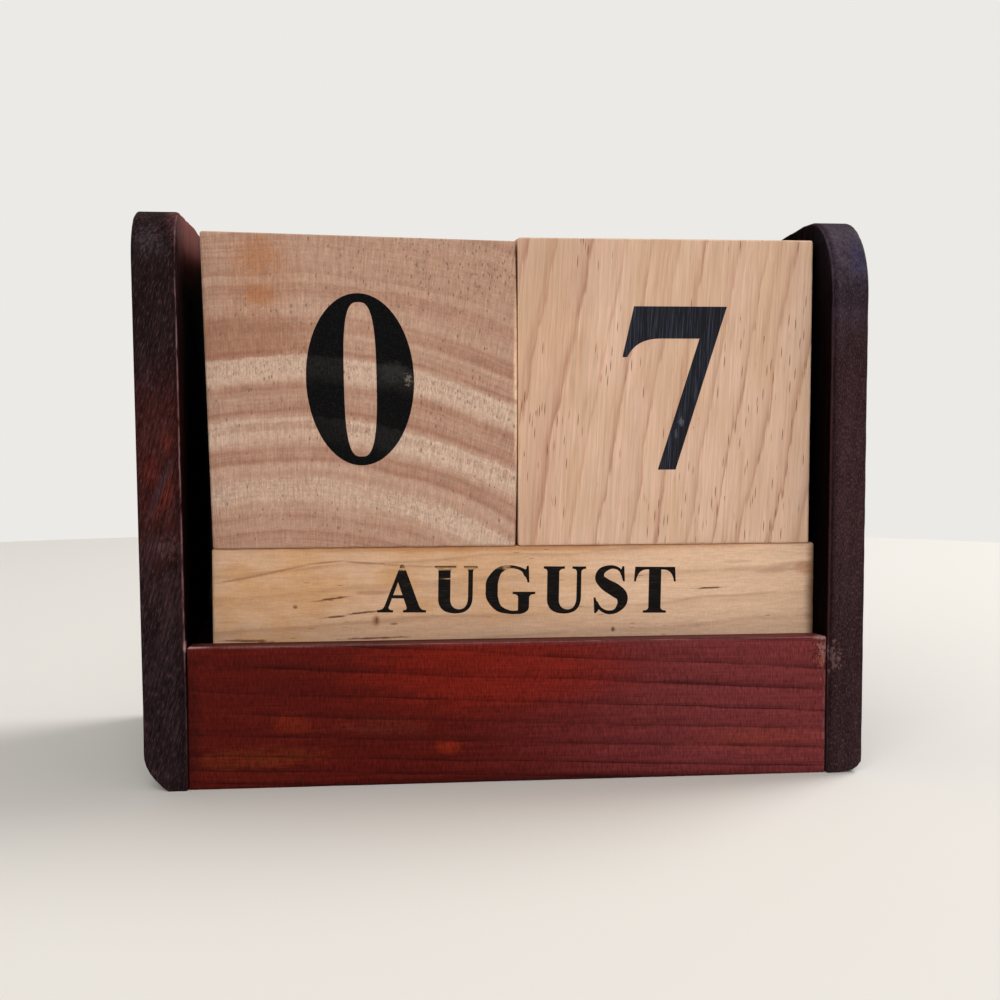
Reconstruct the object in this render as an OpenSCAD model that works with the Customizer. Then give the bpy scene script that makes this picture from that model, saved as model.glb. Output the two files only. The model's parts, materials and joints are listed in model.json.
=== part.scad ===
// Wooden cube calendar: a stained stand with three month bars and two day cubes.
// Sizes are in millimetres. The front faces -Y, +X is to the right as seen from the front,
// and the stand rests on z = 0 with its footprint centred on the origin.

/* [Day cubes] */
// Edge length of a day cube
cube_size = 50; // [44:0.5:56]
// Gap between the two cubes
cube_gap = 0.4; // [0.3:0.1:1]
// Gap between the right cube and the right panel
cube_right_gap = 0.7; // [0.3:0.1:2]
// Gap between the left cube and the left panel
cube_left_gap = 2.6; // [0.3:0.1:4]
// Radius of the sanded edges of a cube
cube_edge_r = 0.9; // [0.3:0.1:3]

/* [Month bars] */
// Side of a bar's square section
bar_side = 16.2; // [14:0.1:20]
// Gap between neighbouring bars, and between a bar and the rail beside it
bar_gap = 0.4; // [0.3:0.1:1]
// Gap between the right end of a bar and the right panel
bar_right_gap = 0.3; // [0.3:0.1:2]
// Gap between the left end of a bar and the left panel
bar_left_gap = 3.6; // [0.3:0.1:4]
// Radius of the sanded edges of a bar
bar_edge_r = 0.7; // [0.3:0.1:2]

/* [Side panels] */
// Thickness of a side panel
panel_t = 6.4; // [5.5:0.1:12]
// Height of a side panel
panel_h = 91.4; // [60:0.1:120]
// Radius of the two rounded top corners of the left panel
left_corner_r = 9; // [3:0.5:20]
// Radius of the two rounded top corners of the right panel
right_corner_r = 12.5; // [3:0.5:20]
// Radius of the sanded edges of a panel
panel_edge_r = 1; // [0.3:0.1:2]

/* [Rails] */
// Thickness of the front and back rails
rail_t = 6.5; // [5.5:0.1:10]
// Height of the front and back rails
rail_h = 22.4; // [20:0.1:30]
// How far a rail sits back from the front edges of the panels
rail_setback = 0.4; // [0.1:0.1:2]
// Radius of the sanded long edges of a rail
rail_edge_r = 0.8; // [0.3:0.1:2]

/* [Floor board] */
// Thickness of the floor board
floor_t = 5; // [3:0.1:7]
// Height of the rails above the floor, which keeps the bars in
lip_h = 1; // [0.5:0.1:3]
// Depth of the groove in a rail that takes the edge of the floor board
groove_depth = 2.5; // [1:0.1:3]
// Glue gap between the edge of the floor board and the bottom of its groove
groove_clearance = 0.1; // [0.05:0.05:0.3]

/* [Dowels] */
// Diameter of a dowel
dowel_d = 3; // [2:0.1:3.5]
// Length of a dowel inside the end of a rail
dowel_in_rail = 10; // [6:0.5:20]
// Length of a dowel inside a side panel
dowel_in_panel = 4; // [2:0.1:5]
// Glue gap round a dowel and at each of its ends
dowel_clearance = 0.1; // [0.05:0.05:0.3]
// Height of the lower dowel's axis above the underside of the rail
dowel_low_z = 4.5; // [3:0.1:6]
// Distance of the upper dowel's axis below the floor board
dowel_below_floor = 4; // [2.5:0.1:5]

/* [Hidden] */
$fn = 64;

left = -1;
right = 1;
front = -1;
back = 1;
// Overlap of a cutting shape past the face that it opens
cut_past = 1;

panel_stain = [0.18, 0.12, 0.13];
rail_stain = [0.36, 0.11, 0.10];
floor_wood = [0.30, 0.17, 0.12];
dowel_wood = [0.80, 0.66, 0.46];
bar_wood = [0.77, 0.61, 0.43];
left_cube_wood = [0.74, 0.57, 0.47];
right_cube_wood = [0.83, 0.70, 0.57];

bars_in_row = 3;
tray_w = cube_left_gap + 2 * cube_size + cube_gap + cube_right_gap;
tray_d = bars_in_row * bar_side + (bars_in_row + 1) * bar_gap;
panel_d = tray_d + 2 * (rail_t + rail_setback);
panel_x = (tray_w + panel_t) / 2;
rail_y = (tray_d + rail_t) / 2;
floor_z = rail_h - lip_h;
floor_under_z = floor_z - floor_t;
bar_len = tray_w - bar_left_gap - bar_right_gap;
bar_x = (bar_left_gap - bar_right_gap) / 2;
bar_pitch = bar_side + bar_gap;
cube_z = floor_z + bar_side + cube_size / 2;
right_cube_x = tray_w / 2 - cube_right_gap - cube_size / 2;
left_cube_x = right_cube_x - cube_size - cube_gap;
dowel_heights = [dowel_low_z, floor_under_z - dowel_below_floor];

// Rectangle with round corners, centred on the origin
module rounded_rectangle(width, height, r) {
    square([width - 2 * r, height], center = true);
    square([width, height - 2 * r], center = true);
    for (x = [left, right], y = [front, back])
        translate([x * (width / 2 - r), y * (height / 2 - r)])
            circle(r = r);
}

// Block centred on the origin whose twelve edges are sanded round
module eased_block(size, r) {
    intersection() {
        linear_extrude(height = size.z, center = true)
            rounded_rectangle(size.x, size.y, r);
        rotate([90, 0, 0])
            linear_extrude(height = size.y, center = true)
                rounded_rectangle(size.x, size.z, r);
        rotate([90, 0, 90])
            linear_extrude(height = size.x, center = true)
                rounded_rectangle(size.y, size.z, r);
    }
}

// Block centred on the origin whose four long edges, along X, are sanded round
module eased_strip(size, r) {
    rotate([90, 0, 90])
        linear_extrude(height = size.x, center = true)
            rounded_rectangle(size.y, size.z, r);
}

// Side view of a panel, with its foot on the X axis and two round top corners
module panel_outline(corner_r) {
    translate([-panel_d / 2, 0])
        square([panel_d, panel_h - corner_r]);
    translate([corner_r - panel_d / 2, 0])
        square([panel_d - 2 * corner_r, panel_h]);
    for (side = [front, back])
        translate([side * (panel_d / 2 - corner_r), panel_h - corner_r])
            circle(r = corner_r);
}

// Cylinders along X across the joint between one rail and one panel.
// Each runs in_panel past the joint into the panel, and in_rail into the rail.
module joint_rods(rail_side, panel_side, d, in_panel, in_rail) {
    rod_len = in_panel + in_rail;
    rod_x = panel_side * (tray_w / 2 + (in_panel - in_rail) / 2);
    for (z = dowel_heights)
        translate([rod_x, rail_side * rail_y, z])
            rotate([0, 90, 0])
                cylinder(d = d, h = rod_len, center = true);
}

// Holes for the dowels of one joint
module dowel_holes(rail_side, panel_side) {
    joint_rods(rail_side, panel_side, dowel_d + 2 * dowel_clearance,
        dowel_in_panel + dowel_clearance, dowel_in_rail + dowel_clearance);
}

module side_panel(panel_side, corner_r) {
    color(panel_stain)
        difference() {
            translate([panel_side * panel_x, 0, 0])
                intersection() {
                    rotate([90, 0, 90])
                        linear_extrude(height = panel_t, center = true)
                            panel_outline(corner_r);
                    translate([0, 0, panel_h / 2])
                        eased_block([panel_t, panel_d, panel_h], panel_edge_r);
                }
            for (rail_side = [front, back])
                dowel_holes(rail_side, panel_side);
        }
}

module rail(rail_side) {
    groove_h = floor_t;
    groove_w = groove_depth + cut_past;
    groove_y = rail_side * (tray_d / 2 + groove_depth - groove_w / 2);
    color(rail_stain)
        difference() {
            translate([0, rail_side * rail_y, rail_h / 2])
                eased_strip([tray_w, rail_t, rail_h], rail_edge_r);
            translate([0, groove_y, floor_z - groove_h / 2])
                cube([tray_w + 2 * cut_past, groove_w, groove_h], center = true);
            for (panel_side = [left, right])
                dowel_holes(rail_side, panel_side);
        }
}

module rail_dowels(rail_side) {
    color(dowel_wood)
        for (panel_side = [left, right])
            joint_rods(rail_side, panel_side, dowel_d, dowel_in_panel, dowel_in_rail);
}

module left_side_panel() {
    side_panel(left, left_corner_r);
}

module right_side_panel() {
    side_panel(right, right_corner_r);
}

module front_rail() {
    rail(front);
}

module back_rail() {
    rail(back);
}

module floor_board() {
    board_d = tray_d + 2 * (groove_depth - groove_clearance);
    color(floor_wood)
        translate([0, 0, floor_z - floor_t / 2])
            cube([tray_w, board_d, floor_t], center = true);
}

module front_rail_dowels() {
    rail_dowels(front);
}

module back_rail_dowels() {
    rail_dowels(back);
}

// One bar of the row. The place counts from the middle of the row towards the back.
module month_bar(place) {
    color(bar_wood)
        translate([bar_x, place * bar_pitch, floor_z + bar_side / 2])
            eased_block([bar_len, bar_side, bar_side], bar_edge_r);
}

module month_bar_front() {
    month_bar(-1);
}

module month_bar_middle() {
    month_bar(0);
}

module month_bar_back() {
    month_bar(1);
}

module day_cube(x, wood) {
    color(wood)
        translate([x, 0, cube_z])
            eased_block([cube_size, cube_size, cube_size], cube_edge_r);
}

module left_day_cube() {
    day_cube(left_cube_x, left_cube_wood);
}

module right_day_cube() {
    day_cube(right_cube_x, right_cube_wood);
}

left_side_panel();
right_side_panel();
front_rail();
back_rail();
floor_board();
front_rail_dowels();
back_rail_dowels();
month_bar_front();
month_bar_middle();
month_bar_back();
left_day_cube();
right_day_cube();
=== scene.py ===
"""Looks of the wooden cube calendar: sanded boards, stained panels and black printing.

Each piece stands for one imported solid, or is printed on one, and keeps that solid's place.
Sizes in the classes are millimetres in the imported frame, and meshes are built in metres.
"""

from __future__ import annotations

import json
import logging
import math
from dataclasses import dataclass, field, replace
from enum import Enum
from functools import cached_property, partialmethod
from typing import Callable, Iterable, Mapping, Optional, Sequence, Union

import bpy
from mathutils import Color, Euler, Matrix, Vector
from mathutils.geometry import delaunay_2d_cdt

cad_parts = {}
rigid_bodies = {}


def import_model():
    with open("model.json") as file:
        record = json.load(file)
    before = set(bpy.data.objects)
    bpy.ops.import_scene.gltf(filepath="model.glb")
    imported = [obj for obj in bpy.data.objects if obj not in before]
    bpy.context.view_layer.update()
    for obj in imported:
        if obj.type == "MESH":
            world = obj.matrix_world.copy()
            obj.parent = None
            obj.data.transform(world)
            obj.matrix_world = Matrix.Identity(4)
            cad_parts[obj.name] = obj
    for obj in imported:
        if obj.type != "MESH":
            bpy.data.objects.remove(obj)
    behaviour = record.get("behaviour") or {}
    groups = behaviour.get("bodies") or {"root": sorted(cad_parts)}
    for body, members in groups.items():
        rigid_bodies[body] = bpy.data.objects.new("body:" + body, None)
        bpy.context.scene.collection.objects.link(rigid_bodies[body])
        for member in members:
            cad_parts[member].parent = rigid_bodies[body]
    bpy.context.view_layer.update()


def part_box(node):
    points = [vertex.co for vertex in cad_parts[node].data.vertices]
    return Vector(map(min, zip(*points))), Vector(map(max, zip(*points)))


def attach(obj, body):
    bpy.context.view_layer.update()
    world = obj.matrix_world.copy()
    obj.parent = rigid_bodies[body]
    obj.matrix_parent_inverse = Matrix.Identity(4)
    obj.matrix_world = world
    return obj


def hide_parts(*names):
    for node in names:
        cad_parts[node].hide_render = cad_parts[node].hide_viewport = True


log = logging.getLogger("cube_calendar")

MM = 0.001
PER_M = 1000.0
FULL_LEVEL = 255.0
MIDDLE = 0.5
QUARTER_TURN = math.radians(90.0)
ARRIS = "arris"

Socket = bpy.types.NodeSocket
Material = bpy.types.Material
Object = bpy.types.Object
Pair = tuple[float, float]
Point = tuple[float, float, float]
Colour = tuple[float, float, float]
Outline = list[Pair]
Cells = list[tuple[int, ...]]
Sheet = tuple[list[Vector], Cells]


def paint(colour: Colour) -> tuple[float, float, float, float]:
    """Turns a colour as a screen shows it into the linear values that a shader takes.

    Args:
        colour: Red, green and blue from 0 to 255.

    Returns:
        Linear red, green, blue and an alpha of 1.
    """
    shown = Color([level / FULL_LEVEL for level in colour])
    red, green, blue = shown.from_srgb_to_scene_linear()
    return red, green, blue, 1.0


def add_object(name: str, data: bpy.types.ID) -> Object:
    """Adds an object to the scene.

    Args:
        name: Name of the object.
        data: Its mesh, lamp or camera.

    Returns:
        The new object, at the origin.
    """
    made = bpy.data.objects.new(name, data)
    bpy.context.scene.collection.objects.link(made)
    return made


class Num:
    """A number in a node tree. Arithmetic on it adds Math nodes."""

    def __init__(self, graph: Graph, socket: Socket) -> None:
        """Keeps the tree and the socket that gives the number."""
        self.graph = graph
        self.socket = socket

    def _before(self, operation: str, other: Number) -> Num:
        """Works on this number and another one, in that order."""
        return self.graph.math(operation, self, other)

    def _after(self, operation: str, other: Number) -> Num:
        """Works on a plain number and this one, in that order."""
        return self.graph.math(operation, other, self)

    __add__ = __radd__ = partialmethod(_before, "ADD")
    __mul__ = __rmul__ = partialmethod(_before, "MULTIPLY")
    __sub__ = partialmethod(_before, "SUBTRACT")
    __rsub__ = partialmethod(_after, "SUBTRACT")
    __truediv__ = partialmethod(_before, "DIVIDE")
    __rtruediv__ = partialmethod(_after, "DIVIDE")
    __pow__ = partialmethod(_before, "POWER")


Number = Union[float, Num]
Link = Union[Num, Socket, float, int, str, bool, tuple, None]


class Graph:
    """A node tree with one way to add any node, and short names for the common ones."""

    def __init__(self, tree: bpy.types.NodeTree) -> None:
        """Keeps the tree that nodes are added to."""
        self.tree = tree

    def node(
        self,
        kind: str,
        settings: Optional[Mapping[str, object]] = None,
        inputs: Optional[Mapping[Union[str, int], Link]] = None,
    ) -> bpy.types.Node:
        """Adds a node, sets it up and feeds its sockets.

        Args:
            kind: Blender's name of the node's type.
            settings: Properties of the node, set before its sockets.
            inputs: Values or links, by the name or the number of the socket.

        Returns:
            The new node.
        """
        made = self.tree.nodes.new(kind)
        for name, value in (settings or {}).items():
            setattr(made, name, value)
        for key, value in (inputs or {}).items():
            socket = made.inputs[key]
            if isinstance(value, Num):
                self.tree.links.new(value.socket, socket)
            elif isinstance(value, Socket):
                self.tree.links.new(value, socket)
            else:
                socket.default_value = value
        return made

    def number(self, kind: str, settings: Mapping[str, object], inputs: Mapping) -> Num:
        """Adds a node and takes its first output as a number."""
        return Num(self, self.node(kind, settings, inputs).outputs[0])

    def math(self, operation: str, *operands: Number) -> Num:
        """Adds a Math node on one to three numbers."""
        return self.number("ShaderNodeMath", {"operation": operation}, dict(enumerate(operands)))

    def vector(self, operation: str, *operands: Link) -> Socket:
        """Adds a Vector Math node and returns its vector."""
        settings, inputs = {"operation": operation}, dict(enumerate(operands))
        return self.node("ShaderNodeVectorMath", settings, inputs).outputs["Vector"]

    def length(self, vector: Link) -> Num:
        """Length of a vector."""
        made = self.node("ShaderNodeVectorMath", {"operation": "LENGTH"}, {0: vector})
        return Num(self, made.outputs["Value"])

    def split(self, vector: Link) -> tuple[Num, Num, Num]:
        """The three parts of a vector."""
        made = self.node("ShaderNodeSeparateXYZ", None, {0: vector})
        return Num(self, made.outputs[0]), Num(self, made.outputs[1]), Num(self, made.outputs[2])

    def join(self, x: Number, y: Number, z: Number) -> Socket:
        """A vector from three numbers."""
        return self.node("ShaderNodeCombineXYZ", None, {0: x, 1: y, 2: z}).outputs[0]

    def smooth(self, value: Number, start: Number, end: Number) -> Num:
        """Rises gently from 0 at start to 1 at end, or falls where start is the larger."""
        return self._map({"interpolation_type": "SMOOTHSTEP"}, value, start, end, 0.0, 1.0)

    def ramp(self, value: Number, start: Number, end: Number, low: Number, high: Number) -> Num:
        """Maps one range onto another in a straight line, and stops at its ends."""
        return self._map({"clamp": True}, value, start, end, low, high)

    def _map(self, settings: Mapping[str, object], *values: Number) -> Num:
        """Maps a value, given with the ends of its range and the ends of the wanted range."""
        labels = ("Value", "From Min", "From Max", "To Min", "To Max")
        return self.number("ShaderNodeMapRange", settings, dict(zip(labels, values)))

    def at_least(self, least: float, mask: Num) -> Num:
        """A mask squeezed so that it runs from the least value to 1."""
        return mask * (1 - least) + least

    def noise(self, place: Link, detail: float = 2.0, roughness: float = 0.5) -> Num:
        """Soft noise from 0 to 1 in three dimensions, with features about one unit wide."""
        return self._noise("3D", "Vector", place, detail, roughness)

    def sway(self, place: Link, detail: float = 2.0, roughness: float = 0.5) -> Num:
        """The same noise about 0, from -0.5 to 0.5."""
        return self.noise(place, detail, roughness) - MIDDLE

    def strip(self, value: Number, detail: float = 2.0, roughness: float = 0.5) -> Num:
        """Soft noise from 0 to 1 along one number."""
        return self._noise("1D", "W", value, detail, roughness)

    def _noise(self, kind: str, label: str, place: Link, detail: float, roughness: float) -> Num:
        """Noise in one or three dimensions, read at the place in the labelled socket."""
        inputs = {label: place, "Scale": 1.0, "Detail": detail, "Roughness": roughness}
        return self.number("ShaderNodeTexNoise", {"noise_dimensions": kind}, inputs)

    def shaded(self, colour: Socket, change: Num) -> Socket:
        """A colour made lighter where the change is above 0 and darker where it is below."""
        inputs = {0: colour, "Scale": change + 1.0}
        return self.node("ShaderNodeVectorMath", {"operation": "SCALE"}, inputs).outputs["Vector"]

    def mix(self, share: Number, first: Link, second: Link) -> Socket:
        """Mixes two colours. The share is how much of the second one shows, from 0 to 1."""
        settings = {"data_type": "RGBA", "clamp_factor": True}
        return self.node("ShaderNodeMix", settings, {0: share, 6: first, 7: second}).outputs[2]


@dataclass(frozen=True)
class Rings:
    """Growth rings of a piece of wood.

    Each ring darkens towards a thin line of late wood, and wider shaded bands lie over them.
    The taper is how much the rings widen for each millimetre along the log.
    The run in is how much of each dark line is a slow darkening before it, and the line end
    is the share of a ring at which the line is darkest. The evenness is how alike the lines are.
    The band start and end are the levels of their noise at which bands begin and are full.
    The feather is how far fibres carry the rings to and fro, in streaks of its width and length.
    """

    step: float
    sharpness: float
    line_strength: float
    band_step: float
    band_strength: float
    wander: float
    wander_reach: float
    wander_stretch: float
    taper: float = 0.0
    run_in: float = 0.35
    line_end: float = 0.93
    evenness: float = 0.4
    band_start: float = 0.34
    band_end: float = 0.68
    feather: float = 0.35
    feather_width: float = 1.2
    feather_length: float = 9.0


@dataclass(frozen=True)
class Spot:
    """A patch of a piece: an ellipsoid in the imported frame, with a ragged edge.

    The ragged pair is the size of what breaks it up, across the grain and along it.
    """

    centre: Point
    radii: Point
    strength: float
    rough_edge: float
    ragged: Pair = field(default=(1.0, 4.0), kw_only=True)


@dataclass(frozen=True)
class StainOrPaintedLight(Spot):
    """A patch in a colour of its own: a stained place, a streak or a small knot, or else a patch
    of painted highlight, sheen or shade.

    The tilt is how many degrees it rises towards the right, seen from the front.
    """

    colour: Colour
    tilt: float = 0.0


@dataclass(frozen=True)
class Pores:
    """Open vessels, drawn out along the grain: dots on end grain and dashes on long grain.

    The upright value draws them out on end grain too, where the block is cut a little aslant.
    The share on lines is how far they keep to the dark lines of the rings.
    """

    colour: Colour
    cell: float
    length: float
    size: float
    share: float
    strength: float
    upright: float = 1.0
    on_lines: float = 0.0
    crowded: tuple[Spot, ...] = ()


@dataclass(frozen=True)
class PaleBands:
    """Wide pale bands that follow the rings, sharp on their outer side and soft on the inner.

    Past the plain radius the dark lines are faint, and within a step they lie between the rule
    and rule end pairs of levels. The sway moves the edges to and fro, over its reach across and
    along the grain. The crumbs break the bands up, in grains of their size.
    """

    colour: Colour
    first: float
    step: float
    width: float
    last: float
    strength: float
    plain: float
    outer_edge: float = 0.5
    inner_edge: Pair = (1.4, 1.0)
    sway: float = 1.2
    sway_reach: Pair = (0.9, 20.0)
    crumb: Point = (0.26, 0.8, 3.0)
    crumb_rise: Pair = (0.34, 0.6)
    crumb_least: float = 0.35
    start_margin: Pair = (5.0, 4.0)
    last_margin: float = 3.0
    rule: Pair = (0.1, 0.17)
    rule_end: Pair = (0.66, 0.2)
    rule_least: float = 0.1
    plain_margin: float = 4.0
    plain_least: float = 0.25
    faint: tuple[Spot, ...] = ()


@dataclass(frozen=True)
class WoodFinish:
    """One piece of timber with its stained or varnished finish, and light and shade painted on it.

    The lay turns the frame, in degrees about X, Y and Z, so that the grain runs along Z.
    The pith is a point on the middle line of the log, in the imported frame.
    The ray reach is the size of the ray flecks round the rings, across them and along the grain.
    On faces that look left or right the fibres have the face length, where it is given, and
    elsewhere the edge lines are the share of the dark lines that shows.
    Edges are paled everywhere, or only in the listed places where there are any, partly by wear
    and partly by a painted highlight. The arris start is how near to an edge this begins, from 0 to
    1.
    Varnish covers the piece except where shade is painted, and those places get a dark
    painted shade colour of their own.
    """

    name: str
    ground: Colour
    shade: Colour
    line: Colour
    light: Colour
    pith: Point
    lay: Point
    rings: Rings
    pores: Pores
    fibre_strength: float
    arris_colour: Colour
    arris_strength: float
    roughness: float = 0.6
    gloss: float = 0.15
    bump: float = 0.5
    fibre_width: float = 0.2
    fibre_length: float = 6.0
    face_length: float = 0.0
    edge_lines: float = 1.0
    fleck_strength: float = 0.0
    fleck_start: float = 0.55
    ray_strength: float = 0.0
    ray_reach: Point = (0.2, 3.0, 3.0)
    blotch_strength: float = 0.2
    blotch_reach: float = 16.0
    varnish: float = 0.0
    arris_start: float = 0.4
    # Near-black colour of the painted shade, for faces that stand in deep shade.
    painted_shade_colour: Colour = (11, 5, 5)
    pale: Optional[PaleBands] = None
    # Stained places, streaks and knots, and patches of painted highlight, sheen and shade.
    stains_and_painted_light: tuple[StainOrPaintedLight, ...] = ()
    # Places where the edges are pale: partly wear, partly painted highlight.
    rubbed_or_glinting: tuple[Spot, ...] = ()
    # Places where shade is painted. They also get no varnish and no flecks.
    painted_shade: tuple[Spot, ...] = ()


@dataclass(frozen=True)
class InkFinish:
    """Black printing on a piece of wood, faded along the fibres and on the pale bands."""

    name: str
    wood: WoodFinish
    black: Colour
    faded: Colour
    faded_strength: float
    gloss: float = 0.03
    scuffs: tuple[StainOrPaintedLight, ...] = ()


class WoodShader:
    """Draws a wood finish with nodes: rings, pores, rays, fibres, stained places, edge wear
    and painted light and shade.

    A pair of levels says where, on a noise or a mask, something begins and where it is full.
    A pair of detail is a noise's detail and roughness, and plain is the least detail.
    """

    PLAIN = 1.0
    RAY_RADIUS = 75.0
    RAY_DROP = 110.0
    UNEVEN_PACE = 0.43
    UNEVEN_REACH = 0.9
    DEPTH_PACE = 0.9
    DEPTH_OFFSET = 31.0
    DEPTH_LEVELS = (0.28, 0.66)
    RUN_IN_POWER = 2.0
    FADE_LEVELS = (0.3, 0.62)
    FADE_LEAST = 0.4
    BAND_OFFSET = 7.0
    BAND_DETAIL = (4.0, 0.68)
    BLOTCH_LEVELS = (0.38, 0.66)
    BROAD_FIBRE = 3.2
    BROAD_SHARE = 0.4
    FIBRE_DETAIL = (3.0, 0.6)
    FACE_LEVELS = (0.6, 0.9)
    FACE_FIBRE = 2.0
    FACE_CALM = 0.6
    FLECK_RISE = 0.17
    PORE_CLUSTER = 6.0
    PORE_LEAST = 0.5
    PORE_VARIETY = 0.7
    PORE_CORE = 0.4
    CROWD_LEVELS = (0.25, 0.75)
    LINE_LEVELS = (0.5, 0.95)
    LINE_LOSS = 0.5
    CREST_CROWD = 0.4
    CRUMB_DETAIL = (2.0, 0.6)
    SPOT_LEVELS = (1.0, 0.3)
    SPOT_DETAIL = (6.0, 0.68)
    # Levels of the edge mask over which the painted shade gives way on the edges.
    PAINTED_SHADE_EDGE = (0.7, 0.1)
    # Noise that breaks up the pale edges, which are partly wear and partly painted highlight.
    WEAR_AND_GLINT_REACH = (1.5, 4.0)
    WEAR_AND_GLINT_DETAIL = 3.0
    WEAR_AND_GLINT_LEVELS = (0.3, 0.62)
    FIBRE_HEIGHT = 0.05
    PORE_DEPTH = 0.02
    LINE_DEPTH = 0.02
    FIBRE_ROUGHNESS = 0.16
    PORE_ROUGHNESS = 0.2
    COAT_ROUGHNESS = 0.42
    COAT_IOR = 1.4

    def __init__(self, finish: WoodFinish) -> None:
        """Starts a material for the finish and works out its masks.

        Args:
            finish: The timber to draw.
        """
        self.finish = finish
        self.gloss = finish.gloss
        self.material = bpy.data.materials.new(finish.name)
        self.material.use_nodes = True
        self.graph = Graph(self.material.node_tree)
        self.surface = self.material.node_tree.nodes["Principled BSDF"]
        attribute = self.graph.node("ShaderNodeAttribute", {"attribute_name": ARRIS})
        self.edge = Num(self.graph, attribute.outputs["Fac"])
        self._place()
        self._fibres()
        self._rings()
        self.crest, self.ruled = self._pale()
        self.vessels = self._vessels()
        self.rays = self._rays()

    def _place(self) -> None:
        """Finds a point's place in the frame and in the log, in millimetres."""
        graph = self.graph
        lay = Euler([math.radians(angle) for angle in self.finish.lay], "XYZ")
        shift = -(lay.to_matrix() @ Vector(self.finish.pith))
        source = graph.node("ShaderNodeTexCoord")
        sideways = graph.math("ABSOLUTE", graph.split(source.outputs["Normal"])[0])
        self.broad = graph.smooth(sideways, *self.FACE_LEVELS)
        self.place = graph.vector("MULTIPLY", source.outputs["Object"], (PER_M, PER_M, PER_M))
        inputs = {"Vector": self.place, "Location": tuple(shift), "Rotation": tuple(lay)}
        turned = graph.node("ShaderNodeMapping", {"vector_type": "POINT"}, inputs)
        self.log_place = turned.outputs[0]
        self.across, self.aside, self.along = graph.split(self.log_place)

    def _stretched(
        self, width: float, length: float, upright: float = 1.0, place: Optional[Socket] = None
    ) -> Socket:
        """Place in the log, or another one, in units of a width across it and a length along it."""
        scale = (1 / width, 1 / (width * upright), 1 / length)
        return self.graph.vector("MULTIPLY", place or self.log_place, scale)

    def _rings(self) -> None:
        """Works out the distance from the pith, the dark lines and the shaded bands."""
        graph, rings = self.graph, self.finish.rings
        reach = rings.wander_reach
        drift = graph.sway(self._stretched(reach, reach * rings.wander_stretch))
        feather = graph.sway(self._stretched(rings.feather_width, rings.feather_length))
        distance = graph.math("SQRT", self.across * self.across + self.aside * self.aside)
        moved = distance + drift * (2 * rings.wander) + feather * rings.feather
        self.radius = moved + self.along * rings.taper
        turns = self.radius / rings.step
        uneven = graph.strip(turns * self.UNEVEN_PACE, self.PLAIN) * self.UNEVEN_REACH
        self.saw = graph.math("FRACT", turns + uneven)
        depth = graph.strip(turns * self.DEPTH_PACE + self.DEPTH_OFFSET, self.PLAIN)
        depth = graph.at_least(rings.evenness, graph.smooth(depth, *self.DEPTH_LEVELS))
        near = self.saw / rings.line_end
        slow = (near ** self.RUN_IN_POWER) * rings.run_in
        rise = slow + (near ** rings.sharpness) * (1 - rings.run_in)
        fading = graph.at_least(self.FADE_LEAST, graph.smooth(self.blotch, *self.FADE_LEVELS))
        fall = graph.smooth(self.saw, 1.0, rings.line_end)
        self.late = rise * fall * depth * fading * self.lines_shown
        bands = graph.strip(self.radius / rings.band_step + self.BAND_OFFSET, *self.BAND_DETAIL)
        self.bands = graph.smooth(bands, rings.band_start, rings.band_end)

    def _fibres(self) -> None:
        """Works out the fine and broad fibres and the blotches."""
        graph, finish = self.graph, self.finish
        width = finish.fibre_width
        self.fine, self.fibres = self._fibre_pair(width, finish.fibre_length, self.log_place)
        self.lines_shown: Number = finish.edge_lines
        self.calm: Number = 1.0
        if finish.face_length:
            fine, fibres = self._fibre_pair(width * self.FACE_FIBRE, finish.face_length, self.place)
            self.fine = self.fine + (fine - self.fine) * self.broad
            self.fibres = self.fibres + (fibres - self.fibres) * self.broad
            self.lines_shown = graph.at_least(finish.edge_lines, self.broad)
            self.calm = 1 - self.broad * self.FACE_CALM
        reach = finish.blotch_reach
        self.blotch = graph.noise(self._stretched(reach, 2 * reach))

    def _fibre_pair(self, width: float, length: float, place: Socket) -> tuple[Num, Num]:
        """Draws fibres along a piece.

        Args:
            width: Width of the fine fibres.
            length: Length of the fine fibres.
            place: Where they are read, with the grain along Z.

        Returns:
            The fine fibres, and the same with broad ones among them.
        """
        graph, wide, share = self.graph, self.BROAD_FIBRE, self.BROAD_SHARE
        fine = graph.noise(self._stretched(width, length, place=place), *self.FIBRE_DETAIL)
        broad = graph.noise(self._stretched(width * wide, length * wide, place=place))
        return fine, fine * (1 - share) + broad * share

    def _pale(self) -> tuple[Number, Number]:
        """Draws the wide pale bands.

        Returns:
            Masks of the bands, and of where the dark lines crowd outside each.
        """
        graph, pale = self.graph, self.finish.pale
        if pale is None:
            return 0.0, 1.0
        ragged = graph.sway(self._stretched(*pale.sway_reach), *self.FIBRE_DETAIL) * pale.sway
        turns = (self.radius - pale.first) / pale.step
        phase = graph.math("FLOORED_MODULO", turns + MIDDLE, 1.0) - MIDDLE
        out = phase * pale.step + ragged
        half = pale.width / 2
        before, after = pale.inner_edge
        crest = graph.smooth(out, half, half - pale.outer_edge)
        crest = crest * graph.smooth(out, -half - before, -half + after)
        grains = graph.vector("DIVIDE", self.log_place, pale.crumb)
        crumbs = graph.noise(grains, *self.CRUMB_DETAIL)
        crest = crest * graph.at_least(pale.crumb_least, graph.smooth(crumbs, *pale.crumb_rise))
        crest = crest * graph.smooth(self.radius, pale.last + pale.last_margin, pale.last)
        start, full = (pale.first - margin for margin in pale.start_margin)
        crest = crest * graph.smooth(self.radius, start, full)
        for spot in pale.faint:
            crest = crest * (1 - self._spot_mask(spot))
        ruled = graph.smooth(phase, *pale.rule) * graph.smooth(phase, *pale.rule_end)
        plain = graph.smooth(self.radius, pale.plain + pale.plain_margin, pale.plain)
        faded = graph.at_least(pale.plain_least, plain)
        return crest * pale.strength, graph.at_least(pale.rule_least, ruled) * faded

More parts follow.
